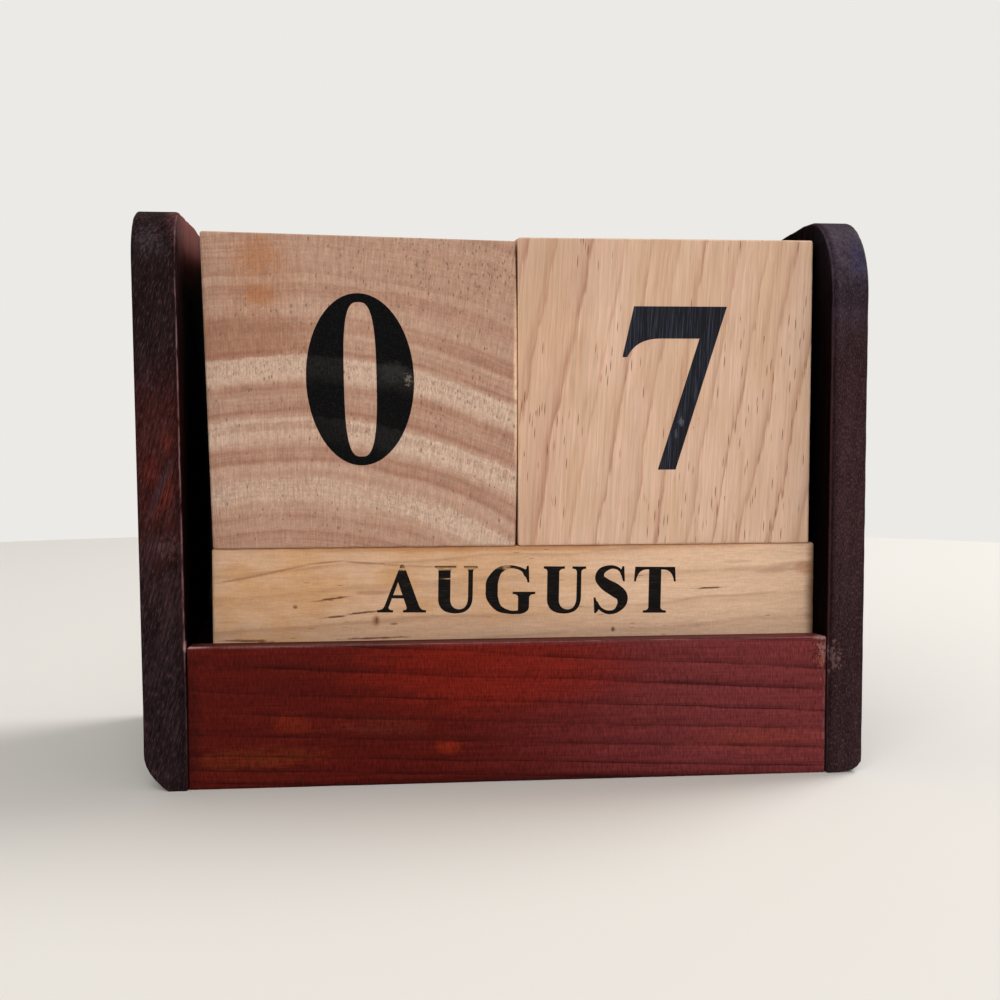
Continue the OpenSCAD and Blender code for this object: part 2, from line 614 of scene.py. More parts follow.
    def _vessels(self) -> Num:
        """Mask of the open pores.

        Returns:
            The mask, which is 1 in the middle of a pore.
        """
        graph, pores = self.graph, self.finish.pores
        settings = {"voronoi_dimensions": "3D", "feature": "F1"}
        place = self._stretched(pores.cell, pores.length, pores.upright)
        cells = graph.node("ShaderNodeTexVoronoi", settings, {"Vector": place, "Scale": 1.0})
        distance = Num(graph, cells.outputs["Distance"])
        parts = graph.node("ShaderNodeSeparateColor", None, {0: cells.outputs["Color"]})
        chance = Num(graph, parts.outputs[0])
        bulk = (Num(graph, parts.outputs[1]) * self.PORE_VARIETY + self.PORE_LEAST) * pores.size
        crowd = graph.noise(self._stretched(self.PORE_CLUSTER, 2 * self.PORE_CLUSTER), self.PLAIN)
        crowd = graph.smooth(crowd, *self.CROWD_LEVELS) * (1 - self.LINE_LOSS * pores.on_lines)
        crowd = crowd + graph.smooth(self.saw, *self.LINE_LEVELS) * pores.on_lines
        crowd = crowd + self.crest * self.CREST_CROWD
        for spot in pores.crowded:
            crowd = crowd + self._spot_mask(spot)
        wanted = graph.math("LESS_THAN", chance, crowd * pores.share)
        return graph.smooth(distance, bulk, bulk * self.PORE_CORE) * wanted

    def _rays(self) -> Num:
        """Fine flecks that run out from the pith, seen on end grain and quartered faces.

        Returns:
            The flecks as a noise from 0 to 1.
        """
        graph, drop = self.graph, self.RAY_DROP
        turn = graph.math("ARCTAN2", self.across, drop - self.aside) * (self.RAY_RADIUS + drop)
        round_way, out_way, grain_way = self.finish.ray_reach
        place = graph.join(turn / round_way, self.radius / out_way, self.along / grain_way)
        return graph.noise(place)

    def _spot_mask(self, spot: Spot) -> Num:
        """Draws one patch with its ragged edge.

        Args:
            spot: The patch, which may be tilted: a stained place or a patch of painted light.

        Returns:
            Its mask, from 0 outside it to its strength.
        """
        graph = self.graph
        offset = graph.vector("SUBTRACT", self.place, spot.centre)
        if isinstance(spot, StainOrPaintedLight) and spot.tilt:
            settings = {"rotation_type": "Y_AXIS"}
            inputs = {"Vector": offset, "Angle": math.radians(spot.tilt)}
            offset = graph.node("ShaderNodeVectorRotate", settings, inputs).outputs[0]
        spread = graph.length(graph.vector("DIVIDE", offset, spot.radii))
        ragged = graph.sway(self._stretched(*spot.ragged), *self.SPOT_DETAIL) * spot.rough_edge
        return graph.smooth(spread + ragged, *self.SPOT_LEVELS) * spot.strength

    def _off_painted_shade(self, mask: Num) -> Num:
        """Clears a mask from the places where shade is painted.

        Args:
            mask: Any mask of this piece.

        Returns:
            The same mask, with nothing where shade is painted on the piece.
        """
        for spot in self.finish.painted_shade:
            mask = mask * (1 - self._spot_mask(spot))
        return mask

    def colour(self) -> Socket:
        """Colour of the wood with its stained places, edge wear, and painted light and shade.

        Returns:
            The socket of the colour.
        """
        graph, finish, rings = self.graph, self.finish, self.finish.rings
        bands = self.bands * rings.band_strength
        made = graph.mix(bands, paint(finish.ground), paint(finish.shade))
        lift = graph.smooth(self.blotch, *self.BLOTCH_LEVELS) * finish.blotch_strength
        made = graph.mix(lift * self.calm, made, paint(finish.light))
        # Stained places and knots, and also patches of painted highlight, sheen and shade, each in
        # its own colour.
        for stain_or_light in finish.stains_and_painted_light:
            made = graph.mix(self._spot_mask(stain_or_light), made, paint(stain_or_light.colour))
        # Painted shade: faces deep in shade, such as a panel's inner face, are painted near black
        # and fade out on the edges.
        for spot in finish.painted_shade:
            face = self._spot_mask(spot) * graph.smooth(self.edge, *self.PAINTED_SHADE_EDGE)
            made = graph.mix(face, made, paint(finish.painted_shade_colour))
        if finish.pale is not None:
            made = graph.mix(self.crest, made, paint(finish.pale.colour))
        made = graph.mix(self.late * self.ruled * rings.line_strength, made, paint(finish.line))
        made = graph.shaded(made, (self.fibres - MIDDLE) * finish.fibre_strength * self.calm)
        made = graph.shaded(made, (self.rays - MIDDLE) * finish.ray_strength)
        # Pale flecks along the fine fibres, in the light colour: partly the grain, partly painted
        # sheen.
        start = finish.fleck_start
        flecks = graph.smooth(self.fine, start, start + self.FLECK_RISE) * finish.fleck_strength
        made = graph.mix(self._off_painted_shade(flecks * self.calm), made, paint(finish.light))
        made = graph.mix(self.vessels * finish.pores.strength, made, paint(finish.pores.colour))
        # Pale edges: partly wear, partly a painted highlight where the edges catch the light.
        return graph.mix(self.wear_and_glint(), made, paint(finish.arris_colour))

    def wear_and_glint(self) -> Num:
        """Mask of the pale edges, from the piece's own attribute: wear and painted highlight.

        Returns:
            The mask, from 0 on a face to the arris strength.
        """
        graph, finish = self.graph, self.finish
        broken = graph.noise(self._stretched(*self.WEAR_AND_GLINT_REACH), self.WEAR_AND_GLINT_DETAIL)
        broken = graph.smooth(broken, *self.WEAR_AND_GLINT_LEVELS)
        rubbed_or_glinting = graph.smooth(self.edge, finish.arris_start, 1.0) * broken * finish.arris_strength
        if finish.rubbed_or_glinting:
            where: Number = 0.0
            for spot in finish.rubbed_or_glinting:
                where = graph.math("MAXIMUM", where, self._spot_mask(spot))
            rubbed_or_glinting = rubbed_or_glinting * where
        return rubbed_or_glinting

    def relief(self) -> Socket:
        """Normal of the surface with open pores, raised fibres and sunk lines.

        Returns:
            The socket of the normal.
        """
        height = self.fibres * self.FIBRE_HEIGHT - self.vessels * self.PORE_DEPTH
        height = height - self.late * self.LINE_DEPTH
        inputs = {"Strength": 1.0, "Distance": MM * self.finish.bump, "Height": height}
        return self.graph.node("ShaderNodeBump", None, inputs).outputs[0]

    def build(self) -> Material:
        """Joins the masks to the surface.

        Returns:
            The finished material.
        """
        smoothest = self.finish.roughness - self.FIBRE_ROUGHNESS / 2
        rough = self.vessels * self.PORE_ROUGHNESS + self.fibres * self.FIBRE_ROUGHNESS + smoothest
        links = self.material.node_tree.links
        self.surface.inputs["Specular IOR Level"].default_value = self.gloss
        links.new(self.colour(), self.surface.inputs["Base Color"])
        links.new(rough.socket, self.surface.inputs["Roughness"])
        links.new(self.relief(), self.surface.inputs["Normal"])
        if self.finish.varnish:
            self._varnish()
        return self.material

    def _varnish(self) -> None:
        """Lays a thin coat over the wood, apart from the places where shade is painted."""
        weight = self._off_painted_shade(self.fibres * (2 * self.finish.varnish))
        self.surface.inputs["Coat Roughness"].default_value = self.COAT_ROUGHNESS
        self.surface.inputs["Coat IOR"].default_value = self.COAT_IOR
        self.material.node_tree.links.new(weight.socket, self.surface.inputs["Coat Weight"])


class InkShader(WoodShader):
    """Draws printing over the same wood, faded and scuffed in places."""

    THIN_LEVELS = (0.48, 0.72)
    THIN_CREST = 0.5
    SCUFF_LEVELS = (0.3, 0.52)

    def __init__(self, ink: InkFinish) -> None:
        """Starts a material for the ink.

        Args:
            ink: The printing to draw.
        """
        self.ink = ink
        super().__init__(ink.wood)
        self.material.name = ink.name
        self.gloss = ink.gloss

    def colour(self) -> Socket:
        """Colour of the ink, with faded fibres and scuffs.

        Returns:
            The socket of the colour.
        """
        graph, ink = self.graph, self.ink
        thin = graph.smooth(self.fine, *self.THIN_LEVELS) * ink.faded_strength
        thin = thin + self.crest * self.THIN_CREST
        made = graph.mix(thin, paint(ink.black), paint(ink.faded))
        for scuff in ink.scuffs:
            rubbed_or_glinting = self._spot_mask(scuff) * graph.smooth(self.fine, *self.SCUFF_LEVELS)
            made = graph.mix(rubbed_or_glinting, made, paint(scuff.colour))
        return made


class NodeShape:
    """A Geometry Nodes tree with named inputs, and the plain meshes that it makes."""

    FINISH = "Finish"

    def __init__(
        self, name: str, vectors: Iterable[str], counts: Iterable[str], numbers: Iterable[str]
    ) -> None:
        """Starts a tree.

        Args:
            name: Name of the tree.
            vectors: Names of the inputs that are vectors.
            counts: Names of the inputs that are whole numbers.
            numbers: Names of the inputs that are other numbers.
        """
        inputs = {
            "NodeSocketVector": vectors,
            "NodeSocketInt": counts,
            "NodeSocketFloat": numbers,
            "NodeSocketMaterial": (self.FINISH,),
        }
        self.tree = bpy.data.node_groups.new(name, "GeometryNodeTree")
        self.graph = Graph(self.tree)
        add = self.tree.interface.new_socket
        add("Geometry", in_out="OUTPUT", socket_type="NodeSocketGeometry")
        self.keys: dict[str, str] = {}
        for kind, labels in inputs.items():
            for label in labels:
                socket = add(label, in_out="INPUT", socket_type=kind)
                self.keys[label] = socket.identifier
        self.source = self.graph.node("NodeGroupInput")

    def number(self, label: str) -> Num:
        """The input of that name, as a number."""
        return Num(self.graph, self.source.outputs[label])

    def close(self, geometry: Socket) -> None:
        """Ends the tree with real geometry in the finish that it was given.

        Args:
            geometry: The socket of the shape, which may have instances in it.
        """
        graph = self.graph
        whole = graph.node("GeometryNodeRealizeInstances", None, {0: geometry}).outputs[0]
        smooth = graph.node("GeometryNodeSetShadeSmooth", None, {0: whole}).outputs[0]
        inputs = {"Geometry": smooth, "Material": self.source.outputs[self.FINISH]}
        dressed = graph.node("GeometryNodeSetMaterial", None, inputs)
        graph.node("NodeGroupOutput", None, {0: dressed.outputs[0]})

    def grow(self, name: str, values: Mapping[str, object]) -> Object:
        """Makes a plain mesh object from the tree.

        Args:
            name: Name of the piece.
            values: Value of each input, by the input's name.

        Returns:
            The object, at the origin and with no modifier.
        """
        piece = add_object(name, bpy.data.meshes.new(name))
        modifier = piece.modifiers.new("grow", "NODES")
        modifier.node_group = self.tree
        for label, value in values.items():
            modifier[self.keys[label]] = value
        depsgraph = bpy.context.evaluated_depsgraph_get()
        made = bpy.data.meshes.new_from_object(
            piece.evaluated_get(depsgraph), preserve_all_data_layers=True, depsgraph=depsgraph
        )
        piece.modifiers.remove(modifier)
        piece.data = made
        made.name = name
        return piece


class SandedBoardShape(NodeShape):
    """A board with sanded edges, small dents along them, and a choice of round top corners."""

    EDGE_CELLS = 5
    DENT_LEVELS = (0.45, 0.75)
    TINY = 1e-6

    def __init__(self) -> None:
        """Builds the tree."""
        super().__init__(
            "sanded_board",
            vectors=("Size", "Centre"),
            counts=[f"Points {axis}" for axis in "XYZ"],
            numbers=("Edge radius", "Corner radius", "Slab", "Dent depth", "Dent reach"),
        )
        graph, centre = self.graph, self.source.outputs["Centre"]
        inputs = {f"Vertices {axis}": self.source.outputs[f"Points {axis}"] for axis in "XYZ"}
        inputs["Size"] = (2.0, 2.0, 2.0)
        box = graph.node("GeometryNodeMeshCube", None, inputs).outputs[0]
        edge = self._rims()
        settings = {"data_type": "FLOAT", "domain": "POINT"}
        inputs = {"Geometry": box, "Name": ARRIS, "Value": edge}
        marked = graph.node("GeometryNodeStoreNamedAttribute", settings, inputs).outputs[0]
        place = graph.vector("ADD", self._round_corners(self._sanded(edge)), centre)
        moved = graph.node("GeometryNodeSetPosition", None, {0: marked, "Position": place})
        self.close(moved.outputs[0])

    def _rims(self) -> Num:
        """Splits a point's place into a flat part and an edge part.

        Returns:
            How near the point is to an edge, from 0 on a face to 1 on the middle of the edge.
        """
        graph, radius = self.graph, self.number("Edge radius")
        place = graph.split(graph.node("GeometryNodeInputPosition").outputs[0])
        self.halves = [part * 0.5 for part in graph.split(self.source.outputs["Size"])]
        flats, rims, near = [], [], []
        for part, half, axis in zip(place, self.halves, "XYZ"):
            reach = graph.math("ABSOLUTE", part)
            side = graph.math("SIGN", part)
            share = 1 - 2 * self.EDGE_CELLS / (self.number(f"Points {axis}") - 1)
            flats.append(graph.ramp(reach, 0.0, share, 0.0, half - radius) * side)
            rim = graph.ramp(reach, share, 1.0, 0.0, 1.0)
            near.append(rim)
            rims.append(rim * radius * side)
        self.flat = graph.join(*flats)
        self.rim = graph.join(*rims)
        self.near = near
        broad = graph.math("MAXIMUM", near[1], near[2])
        narrow = graph.math("MINIMUM", near[1], near[2]) * (1 - self.number("Slab"))
        return graph.math("MAXIMUM", graph.math("MINIMUM", near[0], broad), narrow)

    def _sanded(self, edge: Num) -> Socket:
        """Rounds the edges and dents them a little.

        Args:
            edge: How near the point is to an edge.

        Returns:
            The socket of the point's place about the board's centre.
        """
        graph = self.graph
        x, y, z = self.near
        narrow = graph.math("MINIMUM", y, z)
        spread = x * x + y * y + z * z - narrow * narrow * self.number("Slab")
        shrink = 1 / graph.math("SQRT", graph.math("MAXIMUM", spread, self.TINY))
        whole = graph.vector("ADD", self.flat, self.source.outputs["Centre"])
        cells = 1 / self.number("Dent reach")
        rough = graph.noise(graph.vector("MULTIPLY", whole, graph.join(cells, cells, cells)))
        dent = graph.smooth(rough, *self.DENT_LEVELS) * edge * self.number("Dent depth")
        pull = shrink * (1 - dent / self.number("Edge radius"))
        rim = graph.vector("MULTIPLY", self.rim, graph.join(pull, pull, pull))
        return graph.vector("ADD", self.flat, rim)

    def _round_corners(self, place: Socket) -> Socket:
        """Turns the two top corners round, seen along X, by mapping a square onto a disc.

        Args:
            place: The socket of a point's place about the board's centre.

        Returns:
            The socket of its new place.
        """
        graph = self.graph
        x, y, z = graph.split(place)
        radius = graph.math("MAXIMUM", self.number("Corner radius"), self.TINY)
        side = graph.math("SIGN", y)
        deep = graph.math("ABSOLUTE", y)
        start_y = self.halves[1] - radius
        start_z = self.halves[2] - radius
        out = graph.math("MAXIMUM", (deep - start_y) / radius, 0.0)
        up = graph.math("MAXIMUM", (z - start_z) / radius, 0.0)
        span = graph.math("MAXIMUM", graph.math("SQRT", out * out + up * up), self.TINY)
        pull = graph.math("MAXIMUM", out, up) / span * radius
        new_y = (graph.math("MINIMUM", deep, start_y) + out * pull) * side
        new_z = graph.math("MINIMUM", z, start_z) + up * pull
        return graph.join(x, new_y, new_z)


class DowelShape(NodeShape):
    """Four fluted dowels, two at each end of a rail, with chamfered ends."""

    SIDES = 36
    FLUTES = 12.0
    RINGS = 9
    FLUTE_SHARE = 0.05
    CHAMFER_SHARE = 0.16
    CHAMFER_START = 0.86

    def __init__(self) -> None:
        """Builds the tree."""
        super().__init__(
            "fluted_dowels",
            vectors=("Centre",),
            counts=(),
            numbers=("Span", "Rise", "Length", "Diameter"),
        )
        graph, span, rise = self.graph, self.number("Span"), self.number("Rise")
        grid = {"Size X": span, "Size Y": rise, "Vertices X": 2, "Vertices Y": 2}
        flat = graph.node("GeometryNodeMeshGrid", None, grid).outputs[0]
        centre = self.source.outputs["Centre"]
        move = {"Geometry": flat, "Translation": centre, "Rotation": (QUARTER_TURN, 0.0, 0.0)}
        upright = graph.node("GeometryNodeTransform", None, move).outputs[0]
        pins = {"Points": upright, "Instance": self._dowel(), "Rotation": (0.0, QUARTER_TURN, 0.0)}
        self.close(graph.node("GeometryNodeInstanceOnPoints", None, pins).outputs[0])

    def _dowel(self) -> Socket:
        """Draws one dowel along Z, fluted along its length and chamfered at its ends.

        Returns:
            The socket of its geometry.
        """
        graph, length, radius = self.graph, self.number("Length"), self.number("Diameter") * 0.5
        inputs = {"Vertices": self.SIDES, "Side Segments": self.RINGS}
        inputs |= {"Radius": radius, "Depth": length}
        pin = graph.node("GeometryNodeMeshCylinder", {"fill_type": "NGON"}, inputs).outputs[0]
        x, y, z = graph.split(graph.node("GeometryNodeInputPosition").outputs[0])
        turn = graph.math("ARCTAN2", y, x)
        groove = (graph.math("COSINE", turn * self.FLUTES) * 0.5 + 0.5) * self.FLUTE_SHARE
        reach = graph.math("ABSOLUTE", z) / (length * 0.5)
        taper = graph.smooth(reach, self.CHAMFER_START, 1.0) * self.CHAMFER_SHARE
        keep = 1 - groove - taper
        place = graph.join(x * keep, y * keep, z)
        return graph.node("GeometryNodeSetPosition", None, {0: pin, "Position": place}).outputs[0]


class Mark(Enum):
    """Whether an outline lays ink or clears it."""

    INK = 1
    GAP = 0


@dataclass(frozen=True)
class Patch:
    """One outline of a printed figure, laid in order over the outlines before it."""

    mark: Mark
    outline: Outline


STEM = 24.0
HAIR = 6.0
SLAB = 5.0
BRACKET = 8.0
BRACKET_BEND = 0.25
BRACKET_PULL = 0.6
WEDGE_TIP = 2.0
WEDGE_BEND = 0.45
WEDGE_CURVE = (5.0, 12.0, 27.0)
BOWL_TURN = 0.42
BOWL_PULL = 0.6
BOWL_SIDE = 0.55
CAP = 100.0
CURVE_STEPS = 8
OVAL_STEPS = 64


def ink(outline: Outline) -> Patch:
    """An outline that lays ink."""
    return Patch(Mark.INK, outline)


def gap(outline: Outline) -> Patch:
    """An outline that clears ink."""
    return Patch(Mark.GAP, outline)


def box(left: float, low: float, right: float, high: float) -> Outline:
    """Outline of an upright rectangle."""
    return [(left, low), (right, low), (right, high), (left, high)]


def oval(x: float, y: float, wide: float, tall: float, squareness: float = 2.0) -> Outline:
    """Outline of an oval.

    Args:
        x: Its middle from left to right.
        y: Its middle from foot to head.
        wide: Half of its width.
        tall: Half of its height.
        squareness: 2 for an ellipse, and more for a form nearer to a rectangle.

    Returns:
        The outline.
    """
    points: Outline = []
    for step in range(OVAL_STEPS):
        turn = 2 * math.pi * step / OVAL_STEPS
        across, up = (
            math.copysign(abs(part) ** (2 / squareness), part)
            for part in (math.cos(turn), math.sin(turn))
        )
        points.append((x + wide * across, y + tall * up))
    return points


def bend(*controls: Pair) -> Outline:
    """Points along a cubic curve.

    Args:
        controls: Its four control points.

    Returns:
        Points from one end to the other.
    """
    points: Outline = []
    for step in range(CURVE_STEPS + 1):
        t = step / CURVE_STEPS
        s = 1 - t
        weights = (s * s * s, 3 * s * s * t, 3 * s * t * t, t * t * t)
        x, y = (sum(w * v for w, v in zip(weights, values)) for values in zip(*controls))
        points.append((x, y))
    return points


def brush(path: Outline, widths: Sequence[float]) -> list[Patch]:
    """A stroke whose width changes along a smooth path.

    Args:
        path: Points that the middle of the stroke passes through.
        widths: Width of the stroke at each of those points.

    Returns:
        A row of four-sided outlines that share their sides.
    """
    knots = [Vector((x, y, w)) for (x, y), w in zip(path, widths)]
    knots = [2 * knots[0] - knots[1], *knots, 2 * knots[-1] - knots[-2]]
    line: list[Vector] = []
    for before, start, end, after in zip(knots, knots[1:], knots[2:], knots[3:]):
        first = end - before
        second = 2 * before - 5 * start + 4 * end - after
        third = 3 * start - before - 3 * end + after
        for step in range(CURVE_STEPS):
            t = step / CURVE_STEPS
            line.append(0.5 * (2 * start + first * t + second * t**2 + third * t**3))
    line.append(knots[-2])
    sides = []
    for index, point in enumerate(line):
        ahead = line[min(index + 1, len(line) - 1)] - line[max(index - 1, 0)]
        normal = Vector((-ahead.y, ahead.x)).normalized() * (point.z / 2)
        left = (point.x + normal.x, point.y + normal.y)
        right = (point.x - normal.x, point.y - normal.y)
        sides.append((left, right))
    return [ink([a, b, d, c]) for (a, b), (c, d) in zip(sides, sides[1:])]


def serif(
    left: float,
    right: float,
    level: float,
    overhang: Pair,
    rise: int,
    lean: float = 0.0,
) -> Patch:
    """A bracketed serif under a stem, or over it where rise is -1.

    Args:
        left: Left side of the stem.
        right: Right side of the stem.
        level: Foot or head of the stem.
        overhang: How far the serif stands out to the left and to the right.
        rise: 1 at a foot and -1 at a head.
        lean: How far the stem goes to the right for each unit away from the serif.

    Returns:
        The outline of the serif.
    """
    out_left, out_right = left - overhang[0], right + overhang[1]
    slab = level + rise * SLAB
    tip = slab + rise * BRACKET
    near = slab + rise * BRACKET_BEND * BRACKET
    drift = lean * BRACKET
    swell = BRACKET_BEND * drift
    near_left, near_right = (
        BRACKET_PULL * stem + (1 - BRACKET_PULL) * end
        for stem, end in ((left, out_left), (right, out_right))
    )
    return ink(
        [(out_left, level), (out_right, level)]
        + bend((out_right, slab), (near_right, slab), (right + swell, near), (right + drift, tip))
        + bend((left + drift, tip), (left + swell, near), (near_left, slab), (out_left, slab))
    )


def post(
    left: float,
    foot: Optional[Pair] = (10.0, 10.0),
    head: Optional[Pair] = (10.0, 10.0),
    low: float = 0.0,
    high: float = CAP,
    width: float = STEM,
) -> list[Patch]:
    """An upright stem with serifs.

    Args:
        left: Left side of the stem.
        foot: Overhangs of the serif at the foot, or none for no serif.
        head: Overhangs of the serif at the head, or none for no serif.
        low: Level of the foot.
        high: Level of the head.
        width: Width of the stem.

    Returns:
        The outlines.
    """
    made = [ink(box(left, low, left + width, high))]
    if foot is not None:
        made.append(serif(left, left + width, low, foot, 1))
    if head is not None:
        made.append(serif(left, left + width, high, head, -1))
    return made


def arm(start: float, end: float, level: float, drop: float) -> Patch:
    """A thin level arm with a wedge at its end.

    Args:
        start: Where the arm leaves the stem.
        end: Where it ends, to the left or right of the start.
        level: Its outer edge.
        drop: How far the wedge hangs down, or stands up where it is below 0.

    Returns:
        The outline.
    """
    way = math.copysign(1.0, end - start)
    under = level - math.copysign(HAIR, drop)
    tip, neck = level - drop, level - WEDGE_BEND * drop
    first, second, third = (end - back * way for back in WEDGE_CURVE)
    return ink(
        [(start, level), (end, level), (end + WEDGE_TIP * way, tip)]
        + bend((end - WEDGE_TIP * way, tip), (first, neck), (second, under), (third, under))
        + [(start, under)]
    )


def bowl(left: float, right: float, low: float, high: float, wall: float) -> list[Patch]:
    """A round bowl on the right of a stem, with a thick wall and thin ends.

    Args:
        left: Where the bowl starts, inside the stem.
        right: The outside of its wall.
        low: Its foot.
        high: Its head.
        wall: Thickness of the wall.

    Returns:
        The outlines of the bowl and of the opening in it.
    """

    def ring(start: float, far: float, base: float, top: float) -> Outline:
        """Outline with a straight left side and a round right side.

        Args:
            start: The left side.
            far: The furthest point of the right side.
            base: The foot.
            top: The head.

        Returns:
            The outline.
        """
        middle, half = (base + top) / 2, (top - base) / 2
        turn = start + BOWL_TURN * (far - start)
        reach = turn + BOWL_PULL * (far - turn)
        lift = BOWL_SIDE * half
        return (
            [(start, base)]
            + bend((turn, base), (reach, base), (far, middle - lift), (far, middle))
            + bend((far, middle), (far, middle + lift), (reach, top), (turn, top))
            + [(start, top)]
        )

    stem_side = left + STEM / 2
    return [
        ink(ring(left, right, low, high)),
        gap(ring(stem_side, right - wall, low + HAIR, high - HAIR)),
    ]


def round_back(tail: Outline, tail_widths: Sequence[float]) -> list[Patch]:
    """The open round of C and G, with its beak at the top.

    Args:
        tail: Points of the stroke after the foot of the round.
        tail_widths: Width of the stroke at each of them.

    Returns:
        The outlines.
    """
    path = [(86, 78), (76, 93), (52, 98.5), (28, 90), (14.5, 68), (13, 50), (14.5, 32), (28, 10)]
    path.append((52, 1))
    widths = [4, 6, 7, 15, 25, 26, 25, 15, 8]
    beak = [(72, 99), (86, 93), (88, 101), (92, 101), (94, 65)]
    return brush(path + tail, [*widths, *tail_widths]) + [
        ink(beak + bend((90, 65), (86, 79), (82, 87), (72, 93)))
    ]


def figures() -> dict[str, list[Patch]]:
    """Draws the figures 0 to 8.

    Returns:
        Outlines of each figure, in hundredths of its height.
    """
    foot = bend((58, 30), (54, 20), (50, 17), (40, 17))
    return {
        "0": [ink(oval(31.4, 50, 31.4, 50)), gap(oval(31.4, 50, 9.5, 44.8, 3.0))],
        "1": post(22, (13, 13), None, high=98, width=22)
        + [ink([(4, 83), (22, 84), (44, 80), (44, 101), (38, 101), (4, 88)])],
        "2": brush(
            [(7, 72), (16, 89), (30, 95), (43, 88), (46, 70), (38, 48), (24, 28), (8, 10)],
            [9, 9, 10, 18, 23, 18, 10, 8],
        )
        + [
            ink(oval(11, 71, 9, 10)),
            ink([(2, 0), (56, 0), (62, 30)] + foot + [(12, 17), (2, 7)]),
        ],
        "3": brush(
            [(8, 80), (18, 93), (30, 96), (42, 88), (43, 73), (34, 58), (22, 53)],
            [7, 8, 9, 19, 20, 12, 6],
        )
        + brush(
            [(22, 53), (38, 51), (49, 38), (48, 20), (36, 5), (20, 4), (10, 12)],
            [6, 12, 22, 23, 12, 9, 9],
        )
        + [ink(oval(12, 14, 10, 10))],
        "4": [
            ink([(38, 100), (56, 100), (56, 0), (36, 0), (36, 24), (2, 24), (2, 37)]),
            gap([(11, 38), (36, 38), (36, 79)]),
            ink(box(36, 24, 64, 38)),
        ],
        "5": [
            ink([(14, 100), (56, 100), (52, 83), (14, 83)]),
            ink([(14, 92), (18, 92), (15, 56), (10, 52)]),
        ]
        + brush(
            [(10, 53), (26, 59), (42, 53), (48, 36), (44, 15), (30, 4), (16, 4), (10, 12)],
            [4, 10, 20, 24, 22, 12, 9, 9],
        )
        + [ink(oval(11, 13, 9, 10))],
        "6": [ink(oval(31, 31, 30, 32)), gap(oval(32, 30, 10, 25))]
        + brush([(57, 98), (38, 88), (22, 68), (13, 42)], [4, 12, 20, 24]),
        "7": [
            ink(
                [(7.2, 100), (66.4, 100), (34.3, 0), (22.9, 0), (49, 80.4)]
                + bend((25, 80.4), (13, 80.4), (7, 76.5), (3, 69))
                + [(0, 69)]
            )
        ],
        "8": [
            ink(oval(31, 74, 24, 27)),
            gap(oval(32, 76, 10, 19)),
            ink(oval(31, 27, 30, 29)),
            gap(oval(31, 25, 12, 21)),
        ],
    }


